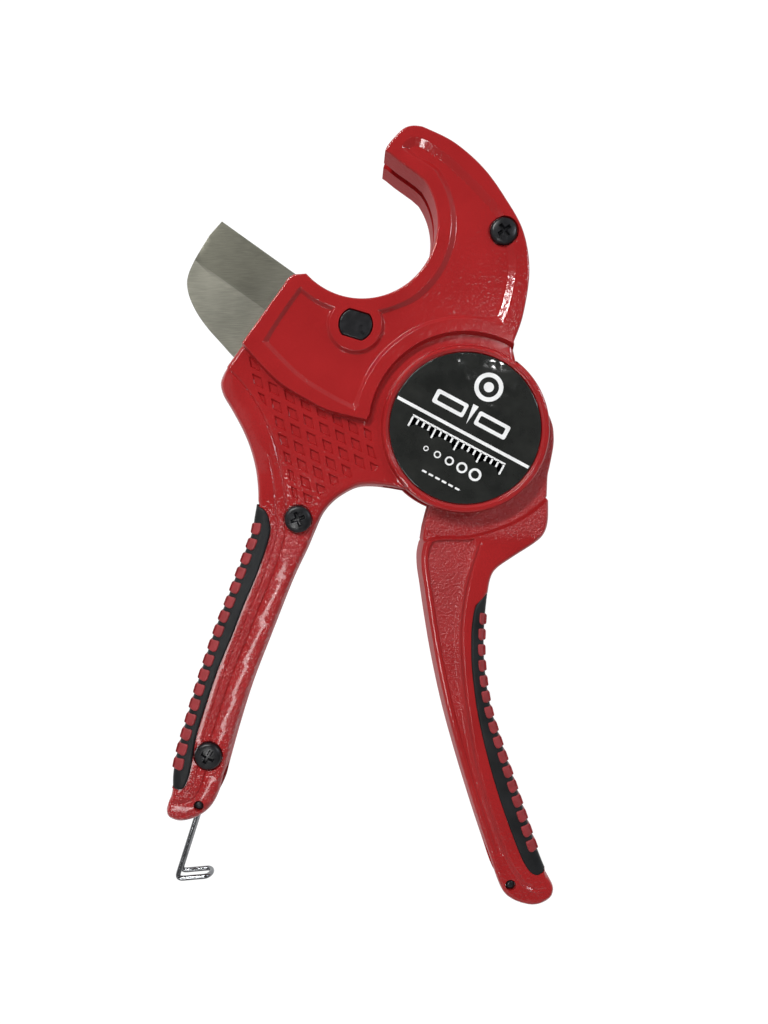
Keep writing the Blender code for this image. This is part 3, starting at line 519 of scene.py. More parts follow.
def curve_piece(name, curve):
    """The surface of a curve as a mesh piece."""
    source = new_object(f"{name}_path", curve)
    graph = bpy.context.evaluated_depsgraph_get()
    mesh = bpy.data.meshes.new_from_object(source.evaluated_get(graph))
    bpy.data.objects.remove(source)
    return new_object(name, mesh)


def both_ways(height):
    return lambda points: -height(points)


def flat(height):
    return lambda points: np.full(len(points), float(height))


def prism(name, loop, top, bottom, spacing):
    return relief(name, [loop], flat(top), flat(bottom), spacing=spacing, coarse=spacing)


def subtract(obj, *cutters):
    """Cuts closed solids out of a piece and removes them."""
    for cutter in cutters:
        modifier = obj.modifiers.new(cutter.name, "BOOLEAN")
        modifier.operation = "DIFFERENCE"
        modifier.solver = "MANIFOLD"
        modifier.object = cutter
    graph = bpy.context.evaluated_depsgraph_get()
    mesh = bpy.data.meshes.new_from_object(obj.evaluated_get(graph))
    obj.modifiers.clear()
    obj.data = mesh
    for cutter in cutters:
        bpy.data.objects.remove(cutter)
    return obj


def finish_piece(obj, material, body, slot, *nodes):
    obj.data.materials.clear()
    obj.data.materials.append(material)
    obj.data.shade_smooth()
    obj.data.set_sharp_from_angle(angle=SMOOTH_LIMIT)
    weighted = obj.modifiers.new("even_shading", "WEIGHTED_NORMAL")
    weighted.keep_sharp = True
    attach(obj, body)
    if nodes:
        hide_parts(*nodes)
    return obj


# ---------------------------------------------------------------- materials

def new_material(name, colour, roughness, metallic=0.0):
    material = bpy.data.materials.new(name)
    material.use_nodes = True
    shader = material.node_tree.nodes["Principled BSDF"]
    shader.inputs["Base Color"].default_value = (*colour, 1.0)
    shader.inputs["Roughness"].default_value = roughness
    shader.inputs["Metallic"].default_value = metallic
    return material, shader


class Nodes:
    """Short calls for building one material's node tree."""

    def __init__(self, material, shader):
        self.tree = material.node_tree
        self.shader = shader
        self.place = self.tree.nodes.new("ShaderNodeTexCoord").outputs["Object"]

    def link(self, source, target):
        self.tree.links.new(source, target)

    def mapped(self, scale, turn=0.0):
        node = self.tree.nodes.new("ShaderNodeMapping")
        node.inputs["Rotation"].default_value = (0, 0, turn)
        node.inputs["Scale"].default_value = scale
        self.link(self.place, node.inputs["Vector"])
        return node.outputs["Vector"]

    def noise(self, scale, detail=3.0, vector=None, roughness=0.5):
        node = self.tree.nodes.new("ShaderNodeTexNoise")
        node.inputs["Scale"].default_value = scale
        node.inputs["Detail"].default_value = detail
        node.inputs["Roughness"].default_value = roughness
        self.link(vector or self.place, node.inputs["Vector"])
        return node.outputs["Fac"]

    def ramp(self, value, *stops):
        node = self.tree.nodes.new("ShaderNodeValToRGB")
        points = node.color_ramp.elements
        while len(points) < len(stops):
            points.new(0.5)
        for point, (position, colour) in zip(points, stops):
            point.position = position
            point.color = (*colour, 1.0)
        self.link(value, node.inputs["Fac"])
        return node.outputs["Color"]

    def math(self, operation, first, second):
        node = self.tree.nodes.new("ShaderNodeMath")
        node.operation = operation
        for socket, value in zip(node.inputs, (first, second)):
            if isinstance(value, (int, float)):
                socket.default_value = value
            else:
                self.link(value, socket)
        return node.outputs[0]

    def spread(self, value, low, high):
        node = self.tree.nodes.new("ShaderNodeMapRange")
        node.inputs["To Min"].default_value = low
        node.inputs["To Max"].default_value = high
        self.link(value, node.inputs["Value"])
        return node.outputs["Result"]

    def attribute(self, name):
        node = self.tree.nodes.new("ShaderNodeAttribute")
        node.attribute_name = name
        return node.outputs["Fac"]

    def flatness(self):
        """0 on a casting's side walls and 1 on its faces."""
        coordinates = self.tree.nodes.new("ShaderNodeTexCoord")
        parts = self.tree.nodes.new("ShaderNodeSeparateXYZ")
        self.link(coordinates.outputs["Normal"], parts.inputs[0])
        upward = self.math("ABSOLUTE", parts.outputs["Z"], 0.0)
        node = self.tree.nodes.new("ShaderNodeMapRange")
        node.interpolation_type = "SMOOTHSTEP"
        node.inputs["From Min"].default_value = 0.12
        node.inputs["From Max"].default_value = 0.5
        self.link(upward, node.inputs["Value"])
        return node.outputs["Result"]

    def bump(self, height, strength, distance):
        node = self.tree.nodes.new("ShaderNodeBump")
        node.inputs["Distance"].default_value = distance
        if isinstance(strength, (int, float)):
            node.inputs["Strength"].default_value = strength
        else:
            self.link(strength, node.inputs["Strength"])
        self.link(height, node.inputs["Height"])
        self.link(node.outputs["Normal"], self.shader.inputs["Normal"])


def red_enamel():
    """Glossy red over a casting: smooth on the jaw, wavy on the handles, sandy where it is rough."""
    material, shader = new_material("red_enamel_gloss", (0.28, 0.009, 0.010), 0.12)
    shader.inputs["Coat Weight"].default_value = 0.3
    shader.inputs["Coat Roughness"].default_value = 0.08
    n = Nodes(material, shader)
    shade = n.noise(60.0, 2.0)
    n.link(n.ramp(shade, (0.3, (0.29, 0.009, 0.010)), (0.7, (0.34, 0.012, 0.013))),
           shader.inputs["Base Color"])
    level = n.spread(n.flatness(), 0.08, 0.45)
    n.link(level, shader.inputs["Specular IOR Level"])
    n.link(n.spread(n.flatness(), 0.0, 0.3), shader.inputs["Coat Weight"])
    cast = n.spread(n.flatness(), 0.35, 0.0)
    n.link(n.math("ADD", n.spread(n.attribute("sand"), 0.12, 0.3), cast), shader.inputs["Roughness"])
    wavy = n.math("MULTIPLY", n.noise(850.0, 2.0), n.math("MULTIPLY", n.attribute("peel"), 2.1))
    grain = n.math("MULTIPLY", n.noise(1500.0, 2.0), n.math("MULTIPLY", n.attribute("sand"), 1.4))
    faint = n.math("MULTIPLY", n.noise(300.0, 1.0), 0.05)
    n.bump(n.math("ADD", n.math("ADD", wavy, grain), faint), 0.8, 0.0005)
    return material


def rubber():
    material, shader = new_material("grip_rubber_moulded", (0.007, 0.008, 0.009), 0.5)
    shader.inputs["Specular IOR Level"].default_value = 0.25
    n = Nodes(material, shader)
    mottle = n.noise(180.0, 4.0)
    n.link(n.ramp(mottle, (0.3, (0.005, 0.0055, 0.006)), (0.7, (0.012, 0.013, 0.014))),
           shader.inputs["Base Color"])
    n.link(n.spread(n.noise(90.0, 3.0), 0.38, 0.62), shader.inputs["Roughness"])
    n.bump(n.noise(2600.0, 2.0), 0.25, 0.0001)
    return material


def grip_block():
    material, shader = new_material("grip_block_soft_red", (0.4, 0.02, 0.035), 0.5)
    n = Nodes(material, shader)
    mottle = n.noise(400.0, 4.0)
    n.link(n.ramp(mottle, (0.3, (0.21, 0.012, 0.014)), (0.7, (0.29, 0.021, 0.026))),
           shader.inputs["Base Color"])
    n.link(n.spread(mottle, 0.42, 0.6), shader.inputs["Roughness"])
    n.bump(n.noise(2200.0, 2.0), 0.3, 0.0001)
    return material


def blade_steel():
    """Ground steel with fine lines across the blade and a finer bevel painted darker, as painted
    shade for the light the bevel reflects.
    """
    material, shader = new_material("blade_ground_steel", (0.4, 0.39, 0.36), 0.36, 1.0)
    n = Nodes(material, shader)
    across = n.mapped((260.0, 5200.0, 260.0), math.radians(-EDGE_SLOPE + 90))
    lines = n.noise(1.0, 3.0, across)
    cloud = n.noise(70.0, 4.0)
    mix = n.math("ADD", n.math("MULTIPLY", lines, 0.55), n.math("MULTIPLY", cloud, 0.45))
    plain = n.ramp(mix, (0.3, (0.18, 0.177, 0.146)), (0.7, (0.3, 0.294, 0.243)))
    # Painted shade: the bevel's darker steel colour stands in for the light that it reflects.
    bevel_painted_shade = n.ramp(mix, (0.3, (0.092, 0.09, 0.073)), (0.7, (0.145, 0.142, 0.113)))
    choose = n.tree.nodes.new("ShaderNodeMix")
    choose.data_type = "RGBA"
    n.link(n.attribute("bevel_painted_shade"), choose.inputs["Factor"])
    colours = [s for s in choose.inputs if s.type == "RGBA"]
    n.link(plain, colours[0])
    n.link(bevel_painted_shade, colours[1])
    result = [s for s in choose.outputs if s.type == "RGBA"][0]
    n.link(result, shader.inputs["Base Color"])
    n.link(n.spread(lines, 0.3, 0.46), shader.inputs["Roughness"])
    n.bump(lines, 0.12, 0.00005)
    return material


def machined_steel(name, colour, roughness):
    material, shader = new_material(name, colour, roughness, 1.0)
    n = Nodes(material, shader)
    turned = n.noise(500.0, 3.0)
    dark = tuple(c * 0.75 for c in colour)
    n.link(n.ramp(turned, (0.3, dark), (0.7, colour)), shader.inputs["Base Color"])
    n.link(n.spread(turned, roughness - 0.06, roughness + 0.08), shader.inputs["Roughness"])
    n.bump(n.noise(1800.0, 2.0), 0.1, 0.00005)
    return material


def black_oxide():
    material, shader = new_material("black_oxide_steel", (0.008, 0.008, 0.009), 0.3, 0.0)
    shader.inputs["Specular IOR Level"].default_value = 0.35
    n = Nodes(material, shader)
    worn = n.noise(700.0, 4.0)
    n.link(n.ramp(worn, (0.35, (0.005, 0.005, 0.006)), (0.75, (0.014, 0.014, 0.016))),
           shader.inputs["Base Color"])
    n.link(n.spread(worn, 0.22, 0.38), shader.inputs["Roughness"])
    n.bump(n.noise(2400.0, 2.0), 0.2, 0.00006)
    return material


def label_gloss():
    """Glossy black film with the slight waves that it has over the cover."""
    material, shader = new_material("label_gloss_black", (0.012, 0.013, 0.012), 0.06)
    n = Nodes(material, shader)
    n.link(n.ramp(n.noise(160.0, 4.0), (0.3, (0.009, 0.010, 0.009)), (0.7, (0.02, 0.021, 0.019))),
           shader.inputs["Base Color"])
    n.link(n.spread(n.noise(90.0, 3.0), 0.03, 0.09), shader.inputs["Roughness"])
    n.bump(n.noise(130.0, 2.0), 0.35, 0.0006)
    return material


def print_white():
    material, shader = new_material("label_print_white", (0.78, 0.78, 0.77), 0.35)
    n = Nodes(material, shader)
    n.link(n.ramp(n.noise(300.0, 4.0), (0.3, (0.72, 0.72, 0.71)), (0.7, (0.84, 0.84, 0.83))),
           shader.inputs["Base Color"])
    return material


# ---------------------------------------------------------------- body halves

def join_ring():
    return arc(AXIS, RING_RADIUS, RING_START, RING_END)


def grip_cut(side, inward):
    """The casting's own edge under a rubber grip."""
    return smooth(offset(side, inward * CORE_START))


def body_loop():
    jaw = [*arc(JAW_CENTRE, JAW_RADIUS, JAW_START, JAW_END), *JAW_TIP]
    cut = grip_cut(FIXED_GRIP_SIDE, 1)[6:-5]
    under_grip = [(-61.2, -23.0), (-60.8, -26.0), *cut, (-86.3, -105.4)]
    return leftward([
        *smooth(HOOK_OUTER), *join_ring(), *smooth(NECK)[1:-1], *smooth(HANDLE_END),
        *reversed(under_grip), *smooth(BODY_LEFT), *smooth(BODY_SHOULDER), *jaw,
    ])


OUTWARD = 2.0
BESIDE_RING = arc(AXIS, GROOVE_RADIUS, 57.0, 172.0)


def jaw_field():
    """The raised plate, its shared edges pushed out past the body's outline."""
    shoulder = offset(BODY_SHOULDER, OUTWARD)
    round_part = arc(JAW_CENTRE, JAW_RADIUS - OUTWARD, JAW_START, JAW_END)
    opening = [*round_part, *offset(JAW_TIP, OUTWARD)]
    lower = smooth([*JAW_LOWER, JAW_LOWER_END])
    outer = smooth([*offset(HOOK_OUTER, OUTWARD), (15.6, 23.0)])
    return leftward([*outer, *BESIDE_RING, *lower, *shoulder, *opening])


def recess_field():
    beside_ring = arc(AXIS, GROOVE_RADIUS + 4.3, 70.0, 168.0)
    opening = arc(JAW_CENTRE, RECESS_RADIUS, -134.0, 28.0)
    outline = [
        *smooth(RECESS_OUTER), *beside_ring, *smooth(RECESS_LOWER[:4]),
        *smooth(RECESS_LOWER[3:])[1:], *opening, *smooth([*RECESS_TIP, RECESS_OUTER[0]])[:-1],
    ]
    return leftward(outline)


def knurl_field():
    ring_side = arc(AXIS, 27.7, -156.0, -187.0)
    upper = offset(smooth([*JAW_LOWER, JAW_LOWER_END]), 0.05)
    return leftward([*smooth(KNURL_FIELD), *ring_side, *upper])


def clip(loop, corners):
    """The part of a loop inside a convex, counter-clockwise polygon."""
    for a, b in zip(corners, [*corners[1:], corners[0]]):
        kept = []
        for p, q in zip(loop, [*loop[1:], loop[0]]):
            side_p = (b[0] - a[0]) * (p[1] - a[1]) - (b[1] - a[1]) * (p[0] - a[0])
            side_q = (b[0] - a[0]) * (q[1] - a[1]) - (b[1] - a[1]) * (q[0] - a[0])
            if side_p >= 0:
                kept.append(p)
            if (side_p >= 0) != (side_q >= 0):
                t = side_p / (side_p - side_q)
                kept.append((p[0] + (q[0] - p[0]) * t, p[1] + (q[1] - p[1]) * t))
        loop = kept
        if len(loop) < 3:
            return []
    return loop


def knurl_cells():
    """Top and floor outlines of the sunk diamonds, cut off where the field ends."""
    field = knurl_field()
    inner_field = offset(field, KNURL_WALL, True)
    cells = []
    for i in range(-9, 10):
        for j in range(-9, 10):
            centre = [KNURL_CENTRE[k] + i * KNURL_ALONG[k] + j * KNURL_DOWN[k] for k in (0, 1)]
            if math.dist(centre, (-45.0, 0.0)) > 38:
                continue
            half_u = [c * KNURL_SHARE[0] / 2 for c in KNURL_ALONG]
            half_v = [c * KNURL_SHARE[1] / 2 for c in KNURL_DOWN]
            corners = leftward([
                (centre[0] + u * half_u[0] + v * half_v[0], centre[1] + u * half_u[1] + v * half_v[1])
                for u, v in ((-1, -1), (1, -1), (1, 1), (-1, 1))
            ])
            top = clip(field, corners)
            if len(top) < 3 or area_of(top) < 1.6:
                continue
            floor_corners = shrink(corners, KNURL_WALL)
            floor = clip(inner_field, floor_corners)
            if len(floor) >= 3 and area_of(floor) > 0.3:
                cells.append((leftward(top), leftward(floor)))
    return cells


def shrink(corners, distance):
    """A convex polygon with each side moved inwards."""
    count = len(corners)
    moved = []
    for i in range(count):
        a, b, c = (Vector(corners[(i + k) % count]) for k in (-1, 0, 1))
        first, second = (b - a).normalized(), (c - b).normalized()
        bisector = Vector((-(first.y + second.y), first.x + second.x)).normalized()
        normal = Vector((-first.y, first.x))
        moved.append(tuple(b + bisector * distance / max(bisector.dot(normal), 0.2)))
    return moved


class BodyFace:
    """The outer face of a body half."""

    def __init__(self, front):
        self.outline = body_loop()
        self.jaw = jaw_field()
        self.recess = recess_field()
        self.recess_width = self.recess_slopes()
        self.cells = knurl_cells()
        self.grip = leftward([
            *smooth(offset(FIXED_GRIP_SIDE, -3.0)), *reversed(smooth(FIXED_GRIP_INNER)),
        ])
        inner = smooth(FIXED_GRIP_INNER)
        self.ridge_one = [
            *smooth(RIDGE_LINE)[:-2],
            *[p for p in offset(inner, 2.1) if p[1] < -29.0 and p[1] > -109.0 or p[0] < -84.0],
        ]
        self.ridge_two = [
            *smooth(BAND_LINE)[:-2],
            *[p for p in offset(inner, 4.5) if p[1] < -31.0],
        ]
        self.seats = [(centre, seat) for _, centre, seat, _ in SCREWS] if front else []

    def recess_slopes(self):
        """The recess falls gently on the hook's outer side and steeply elsewhere."""
        loop = np.array(self.recess)
        distance, _ = nearest(loop, smooth(RECESS_OUTER[1:]))
        gentle = ease(1 - distance / 6.0)
        lower, _ = nearest(loop, smooth(RECESS_LOWER[:4]))
        opening = np.abs(from_centre(loop, JAW_CENTRE) - RECESS_RADIUS)
        beside = ease(1 - opening / 1.5) * ease((loop[:, 0] + 22.0) / 8.0)
        return 1.25 + 1.5 * gentle + 0.5 * ease(1 - lower / 5.0) + 0.8 * beside

    def height(self, points):
        depth, _ = depth_inside(points, self.outline)
        raised = slope(points, self.jaw, JAW_STEP)
        z = np.full(len(points), PLATE_TOP)
        z -= self.side_band(points, depth)
        z -= vee(points, self.ridge_two, RIDGE_TWO_HALF, RIDGE_TWO_DEPTH)
        z -= vee(points, self.ridge_one, RIDGE_ONE_HALF, RIDGE_ONE_DEPTH)
        z += self.handle_crown(points, depth)
        z -= self.knurl(points) * (raised < 0.01)
        z += (self.jaw_height(points) - z) * raised
        z += (self.ring_height(points) - z) * self.ring_share(points)
        near_ring = from_centre(points, AXIS) < RING_RADIUS + SHELL_EDGE
        edge = np.where((raised > 0.5) | near_ring, JAW_EDGE, SHELL_EDGE)
        under_grip = depth_inside(points, self.grip)[0]
        z -= rounding(depth, edge) * (under_grip < -GRIP_MARGIN)
        z += (CORE_HALF - z) * ease(under_grip / GRIP_WALL)
        for centre, seat in self.seats:
            away = from_centre(points, centre)
            z = np.where(away < SEAT_RADIUS, np.minimum(z, seat), z)
        return z

    def side_band(self, points, depth):
        """The band left of the groove line falls away to the edge."""
        distance, place = nearest(points, self.ridge_two)
        line = np.array(self.ridge_two)
        index = np.clip(place.astype(int), 0, len(line) - 2)
        along = line[index + 1] - line[index]
        away = points - line[index]
        left = (along[:, 0] * away[:, 1] - along[:, 1] * away[:, 0]) < 0
        upper = ease((points[:, 1] + 24.0) / 14.0)
        share = distance / np.maximum(distance + depth, 0.1)
        return np.where(left, upper * (0.18 + 1.9 * share ** 2), 0.0)

    def handle_crown(self, points, depth):
        distance, _ = nearest(points, self.ridge_two)
        share = np.clip(distance / np.maximum(distance + depth, 0.1), 0, 1)
        low = ease((-30.0 - points[:, 1]) / 14.0)
        return low * 0.3 * (1 - (2 * share - 1) ** 2 - 0.5)

    def knurl(self, points):
        z = np.zeros(len(points))
        box = (points[:, 0] < -20) & (points[:, 0] > -70) & (points[:, 1] < 26) & (points[:, 1] > -30)
        rows = np.flatnonzero(box)
        part = points[rows]
        sunk = np.zeros(len(rows))
        for top, _ in self.cells:
            middle = np.mean(top, 0)
            near = np.flatnonzero(np.hypot(*(part - middle).T) < 4.5)
            if len(near):
                depth, _ = depth_inside(part[near], top)
                sunk[near] = np.maximum(sunk[near], np.clip(depth / KNURL_WALL, 0, 1))
        z[rows] = sunk * KNURL_DEPTH
        return z

    def boss_share(self, points):
        return ease((from_centre(points, BLADE_AXIS) - BOSS_RADIUS) / BOSS_STEP)

    def jaw_height(self, points):
        sunk = slope(points, self.recess, self.recess_width)
        return JAW_TOP - (JAW_TOP - RECESS_FLOOR) * np.minimum(sunk, self.boss_share(points))

    def ring_share(self, points):
        radius = from_centre(points, AXIS)
        angle = np.degrees(np.arctan2(points[:, 1], points[:, 0]))
        free = ease((RING_START + 1.0 - angle) / 3.0) * ease((angle - RING_END + 1.0) / 3.0)
        return ease((RING_RADIUS + 1.6 * free - radius) / RING_STEP)

    def ring_height(self, points):
        radius = from_centre(points, AXIS)
        inner = ease((LABEL_RADIUS + LIP_WIDTH - radius) / LIP_STEP) * LIP_DROP
        seat = ease((LABEL_RADIUS + LABEL_GAP - radius) / LABEL_WALL)
        z = JAW_TOP - inner
        return z + (LABEL_SEAT - z) * seat

    def lines(self):
        made = rounding_lines(self.outline, JAW_EDGE) + rounding_lines(self.outline, SHELL_EDGE)
        made += slope_lines(self.jaw, JAW_STEP)
        made += slope_lines(self.recess, self.recess_width)
        for share in SLOPE_SHARES:
            made.append((circle(BLADE_AXIS, BOSS_RADIUS + BOSS_STEP * share, 64), True))
            made.append((circle(AXIS, RING_RADIUS - RING_STEP * share, 160), True))
            made.append((circle(AXIS, LABEL_RADIUS + LIP_WIDTH - LIP_STEP * share, 160), True))
        seat_edge = LABEL_RADIUS + LABEL_GAP
        made += [(circle(AXIS, seat_edge - d, 160), True) for d in (0.0, LABEL_WALL)]
        made += vee_lines(self.ridge_one, RIDGE_ONE_HALF)
        made += vee_lines(self.ridge_two, RIDGE_TWO_HALF)
        made += grip_lines(self.grip)
        made += [(loop, True) for cell in self.cells for loop in cell]
        for centre, _ in self.seats:
            radii = (SEAT_RADIUS - STEEP / 2, SEAT_RADIUS + STEEP / 2)
            made += [(circle(centre, radius, 48), True) for radius in radii]
        return made


def grip_lines(grip):
    """The wall of the space that a rubber grip fills."""
    return [(offset(grip, d, True), True) for d in (-GRIP_MARGIN, 0.0, GRIP_WALL)]


def double_d(radius, half_flat, slope_degrees=-17.0):
    half = math.degrees(math.acos(half_flat / radius))
    turn = slope_degrees + 90
    return [
        *arc(BLADE_AXIS, radius, turn - 180 + half, turn - half),
        *arc(BLADE_AXIS, radius, turn + half, turn + 180 - half),
    ]


def inner_pockets():
    """Outline and depth of each space inside a body half."""
    sweep = [BLADE_AXIS, *arc(BLADE_AXIS, 55.8, 39.0, 206.0)]
    teeth = arc(BLADE_AXIS, 28.4, 0, 357)
    drive = [
        (6.0, -21.0), (8.5, -14.0), (-30.0, 6.5), (-44.0, 7.5), (-45.0, -1.0), (-28.0, -11.0),
        (-22.0, -19.5), (-10.0, -26.0),
    ]
    head = [*arc(AXIS, 29.4, 28.0, -153.0), (-16.2, -8.3), *arc(AXIS, 11.2, -176.0, -332.0)]
    latch = [
        (-86.2, -108.4), (-81.5, -105.6), (-74.0, -103.4), (-60.0, -99.0), (-60.0, -126.0),
        (-87.4, -126.0), (-87.0, -116.0),
    ]
    neck_window = [(-36.5, -14.0), (-41.5, -18.0), (-46.4, -28.0), (-44.8, -34.0), (-34.0, -24.0)]
    handle_window = [(-62.4, -75.0), (-64.6, -80.5), (-60.0, -84.0), (-56.0, -77.0)]
    return [
        (sweep, SLOT), (teeth, SLOT), (drive, SLOT), (neck_window, 2.2), (handle_window, 2.2),
        (head, POCKET), (latch, POCKET),
    ]


def inner_height(points):
    z = np.full(len(points), SPLIT)
    for loop, high in inner_pockets():
        depth, _ = depth_inside(points, leftward(loop))
        z = np.where(depth > STEEP / 2, np.maximum(z, high), z)
    return z


def inner_lines():
    lines = []
    for loop, _ in inner_pockets():
        loop = leftward(loop)
        lines += [(loop, True), (offset(loop, STEEP, True), True)]
    return lines


def body_half(name, front):
    face = BodyFace(front)
    if front:
        pin_hole = double_d(BLADE_PIN_BORE, BLADE_PIN_FLAT)
    else:
        pin_hole = circle(BLADE_AXIS, BLADE_PIN_BORE, 64)
    holes = [circle(AXIS, PIVOT_BORE, 40), circle(LATCH_AXIS, LATCH_BORE, 24), pin_hole]
    holes += [circle(centre, SCREW_BORE, 24) for centre, _ in face.seats]
    obj = relief(
        name, [face.outline, *holes], face.height, inner_height, face.lines(), inner_lines(),
    )
    surface_attributes(obj)
    return obj


def surface_attributes(obj):
    """How wavy and how sandy the enamel is, point by point."""
    points = plan_points(obj)
    peel = ease((-18.0 - points[:, 1]) / 14.0) * ease((-40.0 - points[:, 0]) / 6.0)
    write_attribute(obj, "peel", FAINT_PEEL + (1 - FAINT_PEEL) * peel)
    write_attribute(obj, "sand", np.zeros(len(points)))


def plan_points(obj):
    """The X and Y of each of a mesh's points, in millimetres."""
    flat_list = np.empty(len(obj.data.vertices) * 3)
    obj.data.vertices.foreach_get("co", flat_list)
    return flat_list.reshape(-1, 3)[:, :2] / MM


def write_attribute(obj, name, values):
    attribute = obj.data.attributes.new(name, "FLOAT", "POINT")
    attribute.data.foreach_set("value", np.asarray(values, np.float32))


def flip_to_back(obj):
    """Turns a front face into a back one by mirroring it through the middle plane."""
    mirror = Matrix.Translation((0, 0, 2 * MIDDLE * MM)) @ Matrix.Scale(-1, 4, (0, 0, 1))
    obj.data.transform(mirror)
    obj.data.flip_normals()
    return obj


# ---------------------------------------------------------------- moving handle

def handle_loop():
    cut = grip_cut(MOVING_GRIP_SIDE, -1)[6:-5]
    under_grip = [(6.3, -49.6), (5.4, -51.8), *cut, (22.8, -129.8)]
    left = smooth(HANDLE_LEFT)
    head = smooth(HEAD_EDGE)
    hub = arc(AXIS, 10.6, -140.0, -338.0)
    return leftward([
        *head, *reversed(smooth(HANDLE_RIGHT)), *under_grip, *reversed(left),
        (-12.2, -33.0), (-11.6, -29.0), (-10.6, -25.0), (-8.0, -16.0), *hub,
    ])


class HandleFace:
    """The front or back face of the moving handle."""

    def __init__(self):
        self.outline = handle_loop()
        step = smooth([(30.0, -17.2), *HANDLE_STEP, (-16.0, -34.6)])
        self.thick = leftward([*step, (-30.0, -160.0), (50.0, -160.0)])
        self.grip = leftward([
            *smooth(offset(MOVING_GRIP_SIDE, 3.0)), *reversed(smooth(MOVING_GRIP_INNER)),
        ])
        self.crease = smooth([*CREASE, *CREASE_END])
        self.groove = offset(self.crease, CREASE_GAP)
        self.panel = self.panel_loop()
        loop = np.array(self.panel)
        near_crease, _ = nearest(loop, self.crease)
        low = ease((-70.0 - loop[:, 1]) / 40.0)
        self.panel_width = 0.55 + ease(1 - near_crease / 1.5) * (1.1 - 0.5 * low)

    def panel_loop(self):
        left = smooth(offset(HANDLE_LEFT[:10], 1.9))
        right = [p for p in self.crease if -127.5 < p[1] < -34.6]
        top = [p for p in offset(smooth(HANDLE_STEP), 1.0) if -9.8 < p[0] < 3.2]
        return leftward([*reversed(left[2:]), *reversed(top), *right])

    def height(self, points):
        depth, _ = depth_inside(points, self.outline)
        thick = slope(points, self.thick, HEAD_STEP)
        fade = 0.35 + 0.65 * ease((points[:, 1] + 122.0) / 60.0)
        z = np.full(len(points), HANDLE_TOP)
        z -= PANEL_DEPTH * fade * slope(points, self.panel, self.panel_width)
        z -= vee(points, self.groove, CREASE_GROOVE_HALF, CREASE_GROOVE_DEPTH)
        z += vee(points, self.crease, CREASE_HALF, CREASE_RISE)
        z = HEAD_TOP + (z - HEAD_TOP) * thick
        z -= rounding(depth, np.where(thick > 0.5, HANDLE_EDGE, HEAD_ROUND))
        z += (CORE_HALF - z) * ease(depth_inside(points, self.grip)[0] / GRIP_WALL)
        return z

    def lines(self):
        made = rounding_lines(self.outline, HANDLE_EDGE) + slope_lines(self.thick, HEAD_STEP)
        made += slope_lines(self.panel, self.panel_width)
        made += vee_lines(self.groove, CREASE_GROOVE_HALF) + vee_lines(self.crease, CREASE_HALF)
        return made + grip_lines(self.grip)


def handle_casting():
    face = HandleFace()
    bore = circle(AXIS, PIVOT_BORE, 40)
    pawl = circle(PAWL_AXIS, PAWL_BORE, 24)
    lines = face.lines()
    obj = relief(
        "moving_handle_casting", [face.outline, bore, pawl], face.height, both_ways(face.height),
        lines, lines, coarse=2.2,
    )
    fork = [
        *arc(AXIS, 23.8, 16.0, -108.0), (-8.6, -26.4), (-40.0, -26.4), (-40.0, 20.0), (20.0, 20.0),
    ]
    catch = [(0, -126.4), (16.6, -126.4), (20.2, -129.6), (20.6, -145.0), (0, -145.0)]
    subtract(
        obj,
        prism("fork_space", fork, SLOT, -SLOT, 40),
        prism("catch_space", catch, POCKET, -POCKET, 40),
        prism("catch_pin_hole", circle(CATCH_AXIS, CATCH_BORE, 28), 14.0, -8.0, 9),
        prism("spring_seat", circle(AXIS, 8.1, 40), -2.9, -7.0, 9),
    )
    points = plan_points(obj)
    panel, _ = depth_inside(points, face.panel)
    above = ease((points[:, 1] + 33.5) / 2.0)
    upper = ease((points[:, 1] + 110.0) / 60.0)
    sand = np.maximum(above, ease(panel / 0.6) * upper)
    write_attribute(obj, "sand", sand)
    write_attribute(obj, "peel", FAINT_PEEL + 0.18 * ease((-90.0 - points[:, 1]) / 30.0))
    return obj


# ---------------------------------------------------------------- grips

GRIP_ROUND = 3.4
GRIP_EDGE = 0.6
GRIP_CORE = 8.3
BLOCK_EDGE = 0.45
BLOCK_CORNER = 0.7
BLOCK_PROUD = 0.4
BLOCK_LENGTH = 3.75
BLOCK_PITCH = 4.6


def grip_height(side_line, top, radius):
    """The rubber's face, rounded off towards the handle's outer side."""
    def height(points):
        distance, _ = nearest(points, side_line)
        return top - 0.55 * rounding(distance, radius)
    return height


def grip_loop(side, inner):
    return leftward([*smooth(side), *reversed(smooth(inner))])


def rubber_grip(name, side, inner, inward):
    loop = grip_loop(side, inner)
    outer = smooth(side)
    face = grip_height(outer, GRIP_TOP, GRIP_ROUND)

    def height(points):
        depth, _ = depth_inside(points, loop)
        return face(points) - rounding(depth, GRIP_EDGE)

    lines = rounding_lines(loop, GRIP_EDGE)
    lines += [(offset(outer, inward * d), False) for d in (1.0, 1.6, 2.3, 3.0, 3.8)]
    obj = relief(name, [loop], height, both_ways(height), lines, lines, 1.6, 1.6)
    core_line = offset(prolong(side, 9.0), inward * 1.5)
    far_line = offset(prolong(side, 9.0), inward * 14.0)
    core = prism(f"{name}_core", [*core_line, *reversed(far_line)], GRIP_CORE, -GRIP_CORE, 30)
    return subtract(obj, core)


def prolong(line, length):
    first, second = Vector(line[0]), Vector(line[1])
    last, before = Vector(line[-1]), Vector(line[-2])
    start = first + (first - second).normalized() * length
    end = last + (last - before).normalized() * length
    return [tuple(start), *line, tuple(end)]


def bend(start, corner, end, steps):
    """A curve from start to end that leaves and arrives along the lines to the corner."""
    points = []
    for k in range(steps + 1):
        t = k / steps
        shares = ((1 - t) ** 2, 2 * t * (1 - t), t * t)
        points.append(tuple(
            sum(share * p for share, p in zip(shares, column)) for column in zip(start, corner, end)
        ))
    return points


